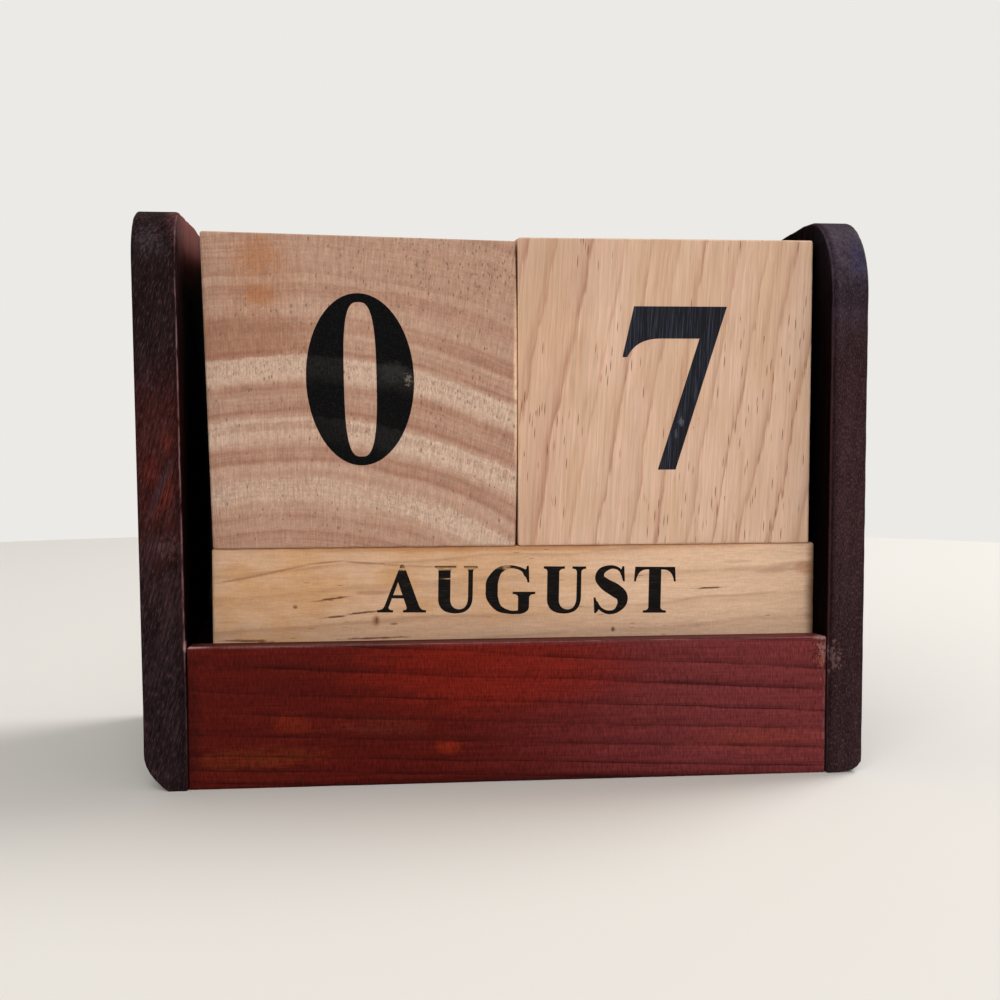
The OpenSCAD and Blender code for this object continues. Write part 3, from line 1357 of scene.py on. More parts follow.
def letters() -> dict[str, list[Patch]]:
    """Draws the capitals in the names of the months.

    Returns:
        Outlines of each capital, in hundredths of its height.
    """
    spine = post(10, (10, 0), (10, 0))
    tongue = [(44, 54), (54, 58), (58, 68), (61, 68), (61, 34), (58, 34), (54, 44), (44, 48)]
    bars = [ink(box(30, 48, 46, 54)), ink(tongue)]
    cup = (
        bend((6, 30), (6, 7), (21, -2), (44, -2))
        + bend((44, -2), (66, -2), (80, 9), (80, 34))
        + [(80, 97), (70, 97)]
        + bend((70, 34), (70, 15), (62, 7), (51, 7))
        + bend((51, 7), (40, 7), (32, 15), (32, 28))
        + [(32, 97), (6, 97)]
    )
    return {
        "A": [
            ink([(49, 102), (56, 102), (93, 4), (65, 4), (40, 76)]),
            ink([(12, 4), (22, 4), (54, 93), (49, 102)]),
            ink(box(27, 30, 72, 37)),
            serif(12, 22, 0, (12, 12), 1, 0.38),
            serif(65, 93, 0, (10, 11), 1, -0.38),
        ],
        "B": spine + bowl(22, 76, 51, 100, 24) + bowl(22, 84, 0, 55, 25),
        "C": round_back([(74, 8), (88, 26)], [7, 4]),
        "D": spine + bowl(22, 96, 0, 100, 26),
        "E": spine + [arm(30, 78, 100, 28), arm(30, 80, 0, -30), *bars],
        "F": post(10, (10, 14), (10, 0)) + [arm(30, 78, 100, 28), *bars],
        "G": round_back([(74, 1)], [8])
        + post(70, None, (12, 13), low=18, high=45)
        + [ink([(70, 18), (70, -3)] + bend((74, -3), (84, -2), (93, 3), (94, 12)) + [(94, 18)])],
        "H": post(10) + post(72) + [ink(box(34, 47, 72, 54))],
        "I": post(10),
        "J": post(26, None, (10, 10), low=24)
        + brush([(38, 26), (36, 12), (27, 3), (15, 4)], [24, 19, 10, 8])
        + [ink(oval(13, 13, 12, 12))],
        "L": post(10, (10, 0), (10, 12)) + [arm(30, 80, 0, -32)],
        "M": post(15, (12, 12), None, high=96, width=7)
        + post(98, (11, 11), (4, 11))
        + [
            ink([(12, 98), (38, 98), (71, 24), (62, 0)]),
            ink([(61, 2), (66, 2), (106, 98), (99, 98)]),
            serif(14, 38, 100, (12, 0), -1),
        ],
        "N": post(15, (12, 12), None, high=96, width=7)
        + post(81, None, (12, 12), width=7)
        + [
            ink([(10, 98), (38, 98), (88, 16), (88, -2), (82, -2)]),
            serif(12, 36, 100, (10, 0), -1),
        ],
        "O": [ink(oval(50, 50, 50, 52)), gap(oval(50, 50, 24, 46))],
        "P": post(10, (10, 14), (10, 0)) + bowl(22, 84, 44, 100, 25),
        "R": post(10, (10, 12), (10, 0))
        + bowl(22, 82, 47, 100, 25)
        + [ink([(42, 52), (64, 52), (98, 5), (104, 5), (104, 0), (72, 0)])],
        "S": brush(
            [(64, 80), (56, 94), (39, 99), (19, 91), (14, 75), (27, 61), (46, 50)]
            + [(62, 37), (63, 20), (50, 4), (32, 1), (16, 9), (7, 24)],
            [5, 6, 8, 15, 21, 26, 29, 26, 20, 10, 8, 7, 5],
        )
        + [
            ink([(60, 93), (63, 101), (67, 101), (69, 68), (65, 68), (61, 80)]),
            ink([(3, -1), (7, -1), (14, 8), (9, 22), (5, 33), (1, 33)]),
        ],
        "T": post(32.5, (12, 12), None, width=27) + [arm(46, 90, 100, 32), arm(46, 2, 100, 32)],
        "U": [ink(cup), serif(6, 32, 100, (8, 12), -1), serif(70, 80, 100, (10, 10), -1)],
        "V": [
            ink([(10, 97), (38, 97), (62, 26), (56, -2), (50, -2)]),
            ink([(50, -2), (56, -2), (88, 97), (81, 97)]),
            serif(10, 38, 100, (10, 10), -1, 0.36),
            serif(80, 88, 100, (12, 12), -1, -0.33),
        ],
        "Y": [
            ink([(9, 97), (37, 97), (62, 48), (40, 48)]),
            ink([(52, 50), (62, 50), (90, 97), (82, 97)]),
        ]
        + post(40, (12, 12), None, high=50)
        + [serif(9, 37, 100, (9, 9), -1, 0.55), serif(82, 90, 100, (12, 12), -1, -0.6)],
    }


def anticlockwise(outline: Outline) -> Outline:
    """The same outline, with its points in anticlockwise order."""
    doubled = sum(a[0] * b[1] - b[0] * a[1] for a, b in zip(outline, outline[1:] + outline[:1]))
    return outline if doubled > 0 else outline[::-1]


class Side(Enum):
    """A face of a block, with the way right and the way up of what is printed on it."""

    FRONT = ((1.0, 0.0, 0.0), (0.0, 0.0, 1.0))
    BACK = ((-1.0, 0.0, 0.0), (0.0, 0.0, 1.0))
    LEFT = ((0.0, -1.0, 0.0), (0.0, 0.0, 1.0))
    RIGHT = ((0.0, 1.0, 0.0), (0.0, 0.0, 1.0))
    TOP = ((1.0, 0.0, 0.0), (0.0, 1.0, 0.0))
    BOTTOM = ((1.0, 0.0, 0.0), (0.0, -1.0, 0.0))

    @property
    def right(self) -> Vector:
        """Direction from left to right along the print."""
        return Vector(self.value[0])

    @property
    def up(self) -> Vector:
        """Direction from the foot to the head of the print."""
        return Vector(self.value[1])

    @property
    def out(self) -> Vector:
        """Direction out of the face."""
        return self.right.cross(self.up)


class Typesetter:
    """Turns the outlines of figures and letters into flat triangles, and sets words in them.

    Level rules cut each character into slices, so that its ink can follow a swelling face.
    """

    SLICES = 12
    LETTER_GAP = 17.5
    CLOSER: Mapping[str, float] = {"ST": 4.5}
    MERGE = 1e-4

    def __init__(self) -> None:
        """Takes the outlines of all the characters."""
        self.shapes = {**figures(), **letters()}
        self.cut: dict[str, Sheet] = {}

    def character(self, sign: str) -> Sheet:
        """Joins a character's outlines into one flat mesh.

        Args:
            sign: The character.

        Returns:
            Its points, with the leftmost at 0, and its triangles.
        """
        if sign not in self.cut:
            patches = self.shapes[sign]
            points: list[Vector] = []
            faces: list[list[int]] = []
            for patch in patches:
                faces.append(list(range(len(points), len(points) + len(patch.outline))))
                points.extend(Vector(point) for point in anticlockwise(patch.outline))
            rules = self._rules(points)
            places, _, cells, _, _, sources = delaunay_2d_cdt(points, rules, faces, 0, self.MERGE)
            inked = [
                cell
                for cell, source in zip(cells, sources)
                if source and patches[max(source)].mark is Mark.INK
            ]
            used = sorted({index for cell in inked for index in cell})
            number = {index: count for count, index in enumerate(used)}
            start = min(places[index].x for index in used)
            self.cut[sign] = (
                [Vector((places[index].x - start, places[index].y)) for index in used],
                [tuple(number[index] for index in cell) for cell in inked],
            )
        return self.cut[sign]

    def _rules(self, points: list[Vector]) -> list[tuple[int, int]]:
        """Adds the ends of level rules to a character's points.

        Args:
            points: The points, to which two are added for each rule.

        Returns:
            The numbers of the two ends of each rule.
        """
        left = min(point.x for point in points) - 1
        right = max(point.x for point in points) + 1
        rules = []
        for step in range(1, self.SLICES):
            level = CAP * step / self.SLICES
            rules.append((len(points), len(points) + 1))
            points.extend((Vector((left, level)), Vector((right, level))))
        return rules

    def word(self, text: str) -> Sheet:
        """Sets a word about the middle of its width and height.

        Args:
            text: The characters of the word.

        Returns:
            Its points and triangles, in hundredths of the letters' height.
        """
        points: list[Vector] = []
        cells: Cells = []
        cursor = 0.0
        for sign, after in zip(text, text[1:] + " "):
            places, inked = self.character(sign)
            cells.extend(tuple(index + len(points) for index in cell) for cell in inked)
            points.extend(Vector((place.x + cursor, place.y)) for place in places)
            cursor += max(place.x for place in places) + self.LETTER_GAP
            cursor -= self.CLOSER.get(sign + after, 0.0)
        middle = Vector(((cursor - self.LETTER_GAP) / 2, CAP / 2))
        return [point - middle for point in points], cells


Warp = Callable[[Vector], Vector]


def same_place(point: Vector) -> Vector:
    """Leaves a point where it is."""
    return point


def inside(value: float) -> float:
    """Keeps a share between 0 and 1."""
    return min(max(value, 0.0), 1.0)


def corners_mm(node: str) -> tuple[Vector, Vector]:
    """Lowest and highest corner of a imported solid, in millimetres."""
    low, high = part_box(node)
    return low * PER_M, high * PER_M


def settle(piece: Object, body: str, slot: str, *nodes: str) -> Object:
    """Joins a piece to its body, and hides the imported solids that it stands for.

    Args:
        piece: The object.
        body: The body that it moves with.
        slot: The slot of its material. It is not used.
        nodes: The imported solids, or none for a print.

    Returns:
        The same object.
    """
    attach(piece, body)
    if nodes:
        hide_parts(*nodes)
    log.info("%s: %d faces, on %s", piece.name, len(piece.data.polygons), body)
    return piece


@dataclass(frozen=True)
class Board:
    """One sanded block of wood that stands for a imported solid."""

    node: str
    body: str
    slot: str
    edge_radius: float
    cell: float
    corner_radius: float = 0.0
    slab: bool = False
    dent_depth: float = 0.12
    dent_reach: float = 3.0

    def build(
        self, shape: SandedBoardShape, material: Material, warp: Warp = same_place
    ) -> Object:
        """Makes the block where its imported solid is.

        Args:
            shape: The tree that makes sanded boards.
            material: Finish of the wood.
            warp: How far the real block is out of true, in millimetres.

        Returns:
            The block, settled on its body.
        """
        low, high = corners_mm(self.node)
        size = high - low
        counts = [
            2 * shape.EDGE_CELLS + 1 + max(1, round((length - 2 * self.edge_radius) / self.cell))
            for length in size
        ]
        piece = shape.grow(
            f"{self.node}_wood",
            {
                "Size": tuple(size * MM),
                "Centre": tuple((low + high) * (MM / 2)),
                **{f"Points {axis}": count for axis, count in zip("XYZ", counts)},
                "Edge radius": self.edge_radius * MM,
                "Corner radius": self.corner_radius * MM,
                "Slab": float(self.slab),
                "Dent depth": self.dent_depth * MM,
                "Dent reach": self.dent_reach * MM,
                shape.FINISH: material,
            },
        )
        for vertex in piece.data.vertices:
            vertex.co = warp(vertex.co * PER_M) * MM
        piece.data.update()
        return settle(piece, self.body, self.slot, self.node)


@dataclass(frozen=True)
class Imprint:
    """One word or figure on a face of a block, moved from its middle and tilted by some degrees."""

    text: str
    side: Side
    height: float
    shift: Pair = (0.0, 0.0)
    tilt: float = 0.0


class Printer:
    """Lays thin prints of ink on the faces of blocks."""

    SUNK = 0.03
    PROUD = 0.015

    def __init__(self) -> None:
        """Takes up the type."""
        self.type = Typesetter()

    def lay(
        self,
        name: str,
        node: str,
        imprints: Iterable[Imprint],
        material: Material,
        warp: Warp = same_place,
    ) -> Object:
        """Prints a block.

        Args:
            name: Name of the piece.
            node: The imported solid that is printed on.
            imprints: What is printed, and on which faces.
            material: The ink.
            warp: How far the real block is out of true, in millimetres.

        Returns:
            One object that holds all the block's print.
        """
        low, high = corners_mm(node)
        points: list[Vector] = []
        faces: Cells = []
        for imprint in imprints:
            self._print_one(imprint, low, high, points, faces)
        mesh = bpy.data.meshes.new(name)
        mesh.from_pydata([warp(point) * MM for point in points], [], faces)
        mesh.materials.append(material)
        mesh.update()
        return add_object(name, mesh)

    def _print_one(
        self,
        imprint: Imprint,
        low: Vector,
        high: Vector,
        points: list[Vector],
        faces: Cells,
    ) -> None:
        """Adds one imprint to the block's print, as a closed sheet of ink.

        Args:
            imprint: What is printed, and where.
            low: Lowest corner of the block.
            high: Highest corner of the block.
            points: Points of the print, which are added to.
            faces: Faces of the print, which are added to.
        """
        side = imprint.side
        half = (high - low) / 2
        depth = sum(abs(part) * length for part, length in zip(side.out, half))
        origin = (low + high) / 2 + side.out * depth
        origin += side.right * imprint.shift[0] + side.up * imprint.shift[1]
        flat, cells = self.type.word(imprint.text)
        scale = imprint.height / CAP
        turn = math.radians(imprint.tilt)
        right = (side.right * math.cos(turn) + side.up * math.sin(turn)) * scale
        up = (side.up * math.cos(turn) - side.right * math.sin(turn)) * scale
        first = len(points)
        count = len(flat)
        for height in (self.PROUD, -self.SUNK):
            lift = side.out * height
            points.extend(origin + right * place.x + up * place.y + lift for place in flat)
        below = first + count
        borders: dict[tuple[int, int], None] = {}
        for cell in cells:
            faces.append(tuple(first + index for index in cell))
            faces.append(tuple(below + index for index in reversed(cell)))
            borders.update(dict.fromkeys(zip(cell, cell[1:] + cell[:1])))
        for start, end in borders:
            if (end, start) not in borders:
                faces.append((first + end, first + start, below + start, below + end))


@dataclass(frozen=True)
class Departure:
    """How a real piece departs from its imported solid, which is true."""

    node: str

    @cached_property
    def corners(self) -> tuple[Vector, Vector]:
        """Lowest and highest corner of the solid, in millimetres."""
        return corners_mm(self.node)


@dataclass(frozen=True)
class OutOfTrue(Departure):
    """How far the corners of a hand-cut block lie from a true rectangle, seen from the front.

    The belly is how far the right side swells out halfway up.
    """

    top_left: Pair
    top_right: Pair
    foot_left: float
    foot_right: float
    belly: float = 0.0

    def warp(self, point: Vector) -> Vector:
        """Moves a point of the true block.

        Args:
            point: Its place in millimetres.

        Returns:
            Its place on the real block.
        """
        low, high = self.corners
        across = inside((point.x - low.x) / (high.x - low.x))
        up = inside((point.z - low.z) / (high.z - low.z))
        top_x = self.top_left[0] * (1 - across) + self.top_right[0] * across
        top_z = self.top_left[1] * (1 - across) + self.top_right[1] * across
        foot_x = self.foot_left * (1 - across) + self.foot_right * across
        swell = self.belly * across * 4 * up * (1 - up)
        return point + Vector((top_x * up + foot_x * (1 - up) + swell, 0.0, top_z * up))


@dataclass(frozen=True)
class RaisedFront(Departure):
    """A rail whose top rises towards its front edge."""

    rise: float

    def warp(self, point: Vector) -> Vector:
        """Moves a point of the true rail.

        Args:
            point: Its place in millimetres.

        Returns:
            Its place on the real rail.
        """
        low, high = self.corners
        up = inside((point.z - low.z) / (high.z - low.z))
        front = inside((high.y - point.y) / (high.y - low.y))
        return point + Vector((0.0, 0.0, self.rise * up * front))


@dataclass(frozen=True)
class PanelSet(Departure):
    """How a side panel departs from a true slab.

    The front edge leans out and the back edge stands in by its toe, above the rails.
    The top falls towards the back, and the outer corner of the foot is lifted and rounded off.
    """

    finish: WoodFinish
    edge: float
    corner: float
    outward: int
    lean: float
    toe_in: float
    extra_thickness: float
    foot_inset: float
    foot_height: float
    fall: float
    fall_start: float
    foot_lift: float = 0.0
    lean_start: float = 12.0
    toe_start: float = 22.4
    toe_rise: float = 10.0
    fall_limit: float = 1.6

    def warp(self, point: Vector) -> Vector:
        """Moves a point of the true panel.

        Args:
            point: Its place in millimetres.

        Returns:
            Its place on the real panel.
        """
        low, high = self.corners
        inner = low.x if self.outward > 0 else high.x
        share = abs(point.x - inner) / (high.x - low.x)
        back = inside((point.y - low.y) / (high.y - low.y))
        up = inside((point.z - self.lean_start) / (high.z - self.lean_start))
        out = self.extra_thickness * share
        out += self.lean * (1 - back) * up
        out -= self.toe_in * back * inside((point.z - self.toe_start) / self.toe_rise)
        foot = inside(1 - point.z / self.foot_height)
        out -= self.foot_inset * share * foot**2
        drop = min(max(0.0, point.y - self.fall_start) * self.fall, self.fall_limit) * up**2
        return point + Vector((self.outward * out, 0.0, self.foot_lift * share * foot - drop))


CUBE_Y = -25.0
BAR_Y = -24.7
RAIL_Y = -31.6
PANEL_Y = -32.0
STREAK_DEPTH = 4.0
STREAK_EDGE = 1.8
STREAK_RAGGED = (0.2, 1.2)


def streak(
    x: float, z: float, length: float, height: float, strength: float, colour: Colour, tilt: float
) -> StainOrPaintedLight:
    """A thin streak on the front of the front bar, broken up along the fibres."""
    radii = (length / 2, STREAK_DEPTH, height / 2)
    return StainOrPaintedLight((x, BAR_Y, z), radii, strength, STREAK_EDGE, colour, tilt, ragged=STREAK_RAGGED)


FACE_RINGS = Rings(
    step=1.9, sharpness=1.8, line_strength=0.6, band_step=2.6, band_strength=0.9, wander=0.8,
    wander_reach=14.0, wander_stretch=4.0, run_in=0.5, line_end=0.66,
)
LONG_RINGS = Rings(
    step=4.4, sharpness=11.0, line_strength=0.64, band_step=2.6, band_strength=0.55, wander=1.4,
    wander_reach=10.0, wander_stretch=2.2, taper=-0.12, run_in=0.16, band_start=0.44,
    band_end=0.74, feather=1.2, feather_width=0.4, feather_length=6.0,
)
BAR_RINGS = Rings(
    step=4.6, sharpness=8.0, line_strength=0.3, band_step=1.4, band_strength=0.5, wander=2.5,
    wander_reach=12.0, wander_stretch=3.0, taper=-0.05, run_in=0.4, line_end=0.85,
)
RAIL_RINGS = Rings(
    step=1.87, sharpness=8.0, line_strength=0.75, band_step=2.4, band_strength=0.4, wander=0.5,
    wander_reach=10.0, wander_stretch=7.0, taper=-0.0275, evenness=0.8,
)
PANEL_RINGS = Rings(
    step=1.1, sharpness=2.5, line_strength=0.6, band_step=1.4, band_strength=0.5, wander=1.0,
    wander_reach=8.0, wander_stretch=4.0,
)

LEFT_CUBE_WOOD = WoodFinish(
    name="left_cube_end_grain",
    ground=(188, 151, 129), shade=(162, 118, 96), line=(146, 95, 76), light=(194, 158, 136),
    pith=(-35.7, -25.0, -19.0), lay=(84.0, 0.0, 0.0), rings=FACE_RINGS,
    fibre_strength=1.0, fibre_width=0.26, ray_strength=0.75, blotch_strength=0.35,
    blotch_reach=9.0,
    roughness=0.62, arris_colour=(206, 172, 146), arris_strength=0.5,
    pores=Pores(
        colour=(122, 92, 74), cell=0.4, length=2.4,
        size=0.42, share=0.2, strength=0.75, upright=2.4,
        crowded=(Spot((-8, CUBE_Y, 83), (22, 30, 9), 3, 0.4),),
    ),
    pale=PaleBands(
        colour=(212, 186, 165), first=66.0, step=9.75, width=3.7, last=88.5,
        strength=0.74, plain=95.0,
        faint=(
            Spot((-36, CUBE_Y, 56.5), (15, 30, 4.5), 0.55, 0.8),
            Spot((-34, CUBE_Y, 46.5), (34, 30, 4.5), 0.3, 1.6),
        ),
    ),
    stains_and_painted_light=(
        StainOrPaintedLight((-18, CUBE_Y, 88), (40, 30, 13), 0.55, 0.5, (178, 141, 119)),
        StainOrPaintedLight((-3, CUBE_Y, 76), (16, 30, 10), 0.5, 0.5, (178, 140, 118)),
        StainOrPaintedLight((-44, CUBE_Y, 71), (18, 30, 6.5), 0.8, 0.8, (158, 112, 88)),
        StainOrPaintedLight((-40, CUBE_Y, 81.5), (7.5, 24, 9.5), 0.35, 1, (168, 114, 78)),
        StainOrPaintedLight((-40.6, CUBE_Y, 84.6), (4.6, 24, 4.4), 0.45, 1.4, (172, 112, 70)),
        StainOrPaintedLight((-40.2, CUBE_Y, 78.3), (3.8, 24, 2.4), 0.55, 1.4, (168, 104, 60)),
        # Painted highlight: a cream line along the right edge, where it catches the light at the
        # gap between the cubes.
        StainOrPaintedLight((1.3, CUBE_Y, 65), (0.8, 2, 24), 0.95, 0.3, (238, 200, 166)),
    ),
)
RIGHT_CUBE_WOOD = WoodFinish(
    name="right_cube_long_grain",
    ground=(212, 175, 147), shade=(189, 145, 117), line=(150, 94, 68), light=(222, 186, 164),
    pith=(-60.0, 20.0, 62.0), lay=(0.0, -3.0, 0.0), rings=LONG_RINGS,
    fibre_strength=1.0, fibre_width=0.16, fibre_length=7.0, blotch_strength=0.6, blotch_reach=6.0,
    arris_colour=(232, 204, 178), arris_strength=0.7,
    pores=Pores(
        colour=(112, 68, 48), cell=0.38, length=5.5,
        size=0.27, share=0.42, strength=0.9, on_lines=0.3,
        crowded=(
            Spot((46, CUBE_Y, 56), (12, 30, 26), 1.6, 0.6),
            Spot((34, CUBE_Y, 42), (22, 30, 8), 1.4, 0.6),
            Spot((6, CUBE_Y, 58), (6, 30, 14), 0.8, 0.6),
        ),
    ),
    stains_and_painted_light=(
        StainOrPaintedLight((3, CUBE_Y, 60), (12, 60, 48), 0.25, 0.6, (190, 144, 112)),
        StainOrPaintedLight((9, CUBE_Y, 85), (15, 30, 12), 0.3, 0.6, (186, 148, 124)),
        # Painted highlight: a cream line along the left edge, where it catches the light at the gap
        # between the cubes.
        StainOrPaintedLight((1.2, CUBE_Y, 62), (0.55, 1.6, 30), 0.7, 0.3, (228, 186, 142)),
    ),
)
BAR_WOOD = WoodFinish(
    name="bar_long_grain",
    ground=(206, 160, 117), shade=(188, 141, 101), line=(128, 80, 50), light=(212, 174, 144),
    pith=(0.0, -8.0, -42.0), lay=(0.0, -90.0, 0.0), rings=BAR_RINGS,
    fibre_strength=0.75, fibre_width=0.17, fibre_length=1.8, ray_strength=0.25,
    ray_reach=(1.0, 1.6, 0.22), blotch_strength=0.75, blotch_reach=5.0,
    arris_colour=(218, 184, 148), arris_strength=0.4,
    pores=Pores(
        colour=(120, 78, 54), cell=0.5, length=5.0,
        size=0.15, share=0.5, strength=0.8, on_lines=0.6,
    ),
    stains_and_painted_light=(
        StainOrPaintedLight((50, BAR_Y, 26), (70, 60, 40), 0.8, 0.3, (228, 192, 162)),
        StainOrPaintedLight((6, BAR_Y, 22), (48, 30, 4.5), 0.55, 0.8, (206, 166, 140)),
        # Darker orange band along the top edge: partly the wood's colour, partly painted shade
        # where the cubes stand on the bar.
        StainOrPaintedLight((0, BAR_Y, 37.8), (60, 4, 1.5), 0.75, 0.4, (172, 112, 60)),
        StainOrPaintedLight((49.9, BAR_Y, 33.6), (2.2, 4, 1.6), 0.45, 1.4, (176, 104, 66)),
        # Painted shade: the right end is darker, in the corner against the right panel.
        StainOrPaintedLight((52.4, BAR_Y, 29), (2.7, 6, 20), 0.9, 0.3, (96, 58, 38)),
        StainOrPaintedLight((-43.2, BAR_Y, 32.8), (6.6, 4, 0.32), 0.5, 0.9, (132, 80, 46), 10),
        StainOrPaintedLight((-36.6, BAR_Y, 34.1), (5.4, 4, 0.3), 0.5, 0.9, (136, 84, 50), 11),
        StainOrPaintedLight((-30.2, BAR_Y, 35.2), (5, 4, 0.26), 0.6, 0.7, (138, 86, 54), 5),
        StainOrPaintedLight((-24, BAR_Y, 35.1), (5, 4, 0.26), 0.55, 0.7, (142, 90, 58), -5),
        StainOrPaintedLight((-15, BAR_Y, 34.4), (8, 4, 0.26), 0.4, 0.7, (146, 94, 60), -3),
        StainOrPaintedLight((-21.9, BAR_Y, 25.5), (0.95, 4, 1.25), 0.75, 0.4, (150, 100, 74)),
        StainOrPaintedLight((-21.8, BAR_Y, 25.6), (0.35, 4, 0.8), 0.8, 0.4, (104, 62, 44)),
        streak(-28.8, 29.3, 7.6, 0.55, 1, (110, 68, 42), 7),
        StainOrPaintedLight((-22.5, BAR_Y, 30.2), (4, 4, 0.5), 0.45, 0.8, (150, 98, 62)),
        streak(-28.7, 26.3, 5.6, 0.5, 1, (110, 68, 44), 5),
        streak(-24.2, 26.9, 7.6, 0.5, 1, (110, 68, 44), 6),
        StainOrPaintedLight((-35, BAR_Y, 28), (0.55, 4, 0.4), 0.8, 0.5, (104, 64, 44)),
        StainOrPaintedLight((-19, BAR_Y, 25), (0.9, 4, 0.3), 0.7, 0.5, (120, 80, 60)),
        streak(-43, 22.6, 11, 0.5, 0.9, (112, 70, 48), -2),
        StainOrPaintedLight((-40.4, BAR_Y, 22.5), (0.8, 4, 0.4), 0.7, 1.6, (120, 52, 38), ragged=(0.4, 0.4)),
        streak(-22, 22.7, 15, 0.5, 0.9, (116, 74, 54), 1),
        StainOrPaintedLight((17.4, BAR_Y, 23.5), (0.45, 4, 0.6), 0.85, 1.2, (78, 52, 44), ragged=(0.4, 0.4)),
        streak(33.6, 30.2, 6.6, 0.45, 1, (108, 66, 44), 2),
        StainOrPaintedLight((45, BAR_Y, 33), (5, 4, 0.5), 0.35, 1, (156, 106, 74), 3),
        StainOrPaintedLight((38.5, BAR_Y, 34.6), (4, 4, 0.4), 0.3, 1, (156, 106, 74), 3),
    ),
)
RAIL_WOOD = WoodFinish(
    name="rail_red_stain",
    ground=(84, 21, 15), shade=(70, 17, 13), line=(34, 8, 8), light=(92, 27, 20),
    pith=(0.0, 10.0, 40.0), lay=(0.0, -90.0, 0.0), rings=RAIL_RINGS,
    fibre_strength=1.6, ray_strength=1.5, ray_reach=(1.2, 2.2, 0.2), blotch_strength=0.4,
    blotch_reach=9.0,
    roughness=0.5, gloss=0.03, bump=0.6, arris_colour=(160, 118, 112), arris_strength=0.9,
    pores=Pores(colour=(46, 13, 11), cell=0.5, length=2.2, size=0.16, share=0.08, strength=0.4),
    stains_and_painted_light=(
        # Painted light: lighter and pinker towards the right end, as the light falls from the
        # right.
        StainOrPaintedLight((60, RAIL_Y, 14), (76, 60, 60), 0.85, 0.3, (113, 49, 51)),
        StainOrPaintedLight((-3, RAIL_Y, 18), (30, 8, 9), 0.7, 0.7, (122, 31, 19)),
        StainOrPaintedLight((-41.5, RAIL_Y, 4.7), (12, 6, 2.4), 0.2, 3.4, (132, 64, 26)),
        StainOrPaintedLight((-35.8, RAIL_Y, 10.2), (4.2, 6, 2.2), 0.26, 1.6, (130, 44, 18)),
        StainOrPaintedLight((-10.8, RAIL_Y, 6), (3, 6, 1.9), 0.36, 1.8, (148, 46, 18)),
        StainOrPaintedLight((-22, RAIL_Y, 9.4), (9, 6, 1.8), 0.06, 3.4, (150, 84, 64)),
        StainOrPaintedLight((40, RAIL_Y, 6), (14, 6, 2.8), 0.35, 1.8, (134, 58, 44)),
        # Darker along the bottom edge of the front.
        StainOrPaintedLight((0, RAIL_Y, 0), (70, 5, 1.6), 0.6, 0.5, (44, 13, 11)),
        # Painted shade: darker at the left end, in the corner beside the left panel.
        StainOrPaintedLight((-51.9, RAIL_Y, 10), (3, 5, 15), 0.6, 0.6, (46, 13, 12)),
        StainOrPaintedLight((51, RAIL_Y, 22.6), (1.5, 3, 0.5), 0.7, 2.6, (176, 140, 134)),
        StainOrPaintedLight((50.6, RAIL_Y, 20), (1.4, 3, 2.6), 0.5, 8, (48, 18, 15), ragged=(0.8, 0.6)),
        StainOrPaintedLight((51.3, RAIL_Y, 20.4), (0.9, 3, 2.8), 0.42, 9, (164, 124, 116), ragged=(0.8, 0.5)),
        StainOrPaintedLight((50.9, RAIL_Y, 18.8), (0.6, 3, 1), 0.45, 5, (170, 104, 74), ragged=(0.6, 0.4)),
        StainOrPaintedLight((51.7, RAIL_Y, 9), (0.5, 4, 11), 0.4, 2.6, (136, 96, 94)),
        # Painted shadow on the top face, just under the front bar.
        StainOrPaintedLight((0, -25.2, 22.5), (70, 2.6, 0.9), 1, 0.1, (22, 9, 9)),
        # Painted sheen: a pale pinkish band on the front half of the top face.
        StainOrPaintedLight((0, -30.8, 22.9), (80, 3, 0.8), 0.6, 0.4, (104, 62, 64)),
        # Painted highlights along the top-left edge, brightest at the corner by the left panel.
        StainOrPaintedLight((-36, -31.3, 22.9), (18, 1.8, 0.6), 0.4, 0.8, (140, 100, 98)),
        StainOrPaintedLight((-51.6, -31.4, 22.9), (4, 1.6, 0.5), 0.7, 0.5, (190, 150, 150)),
    ),
    # Places where the edges are pale: partly wear, partly a painted highlight along the top front
    # edge, brightest at the ends.
    rubbed_or_glinting=(
        Spot((-51, -31, 22.4), (4, 8, 3), 0.8, 0.6),
        Spot((12, -31, 22.6), (80, 8, 1.5), 0.6, 0.6),
        Spot((50, -31, 21), (6, 8, 4), 0.9, 0.8),
    ),
)
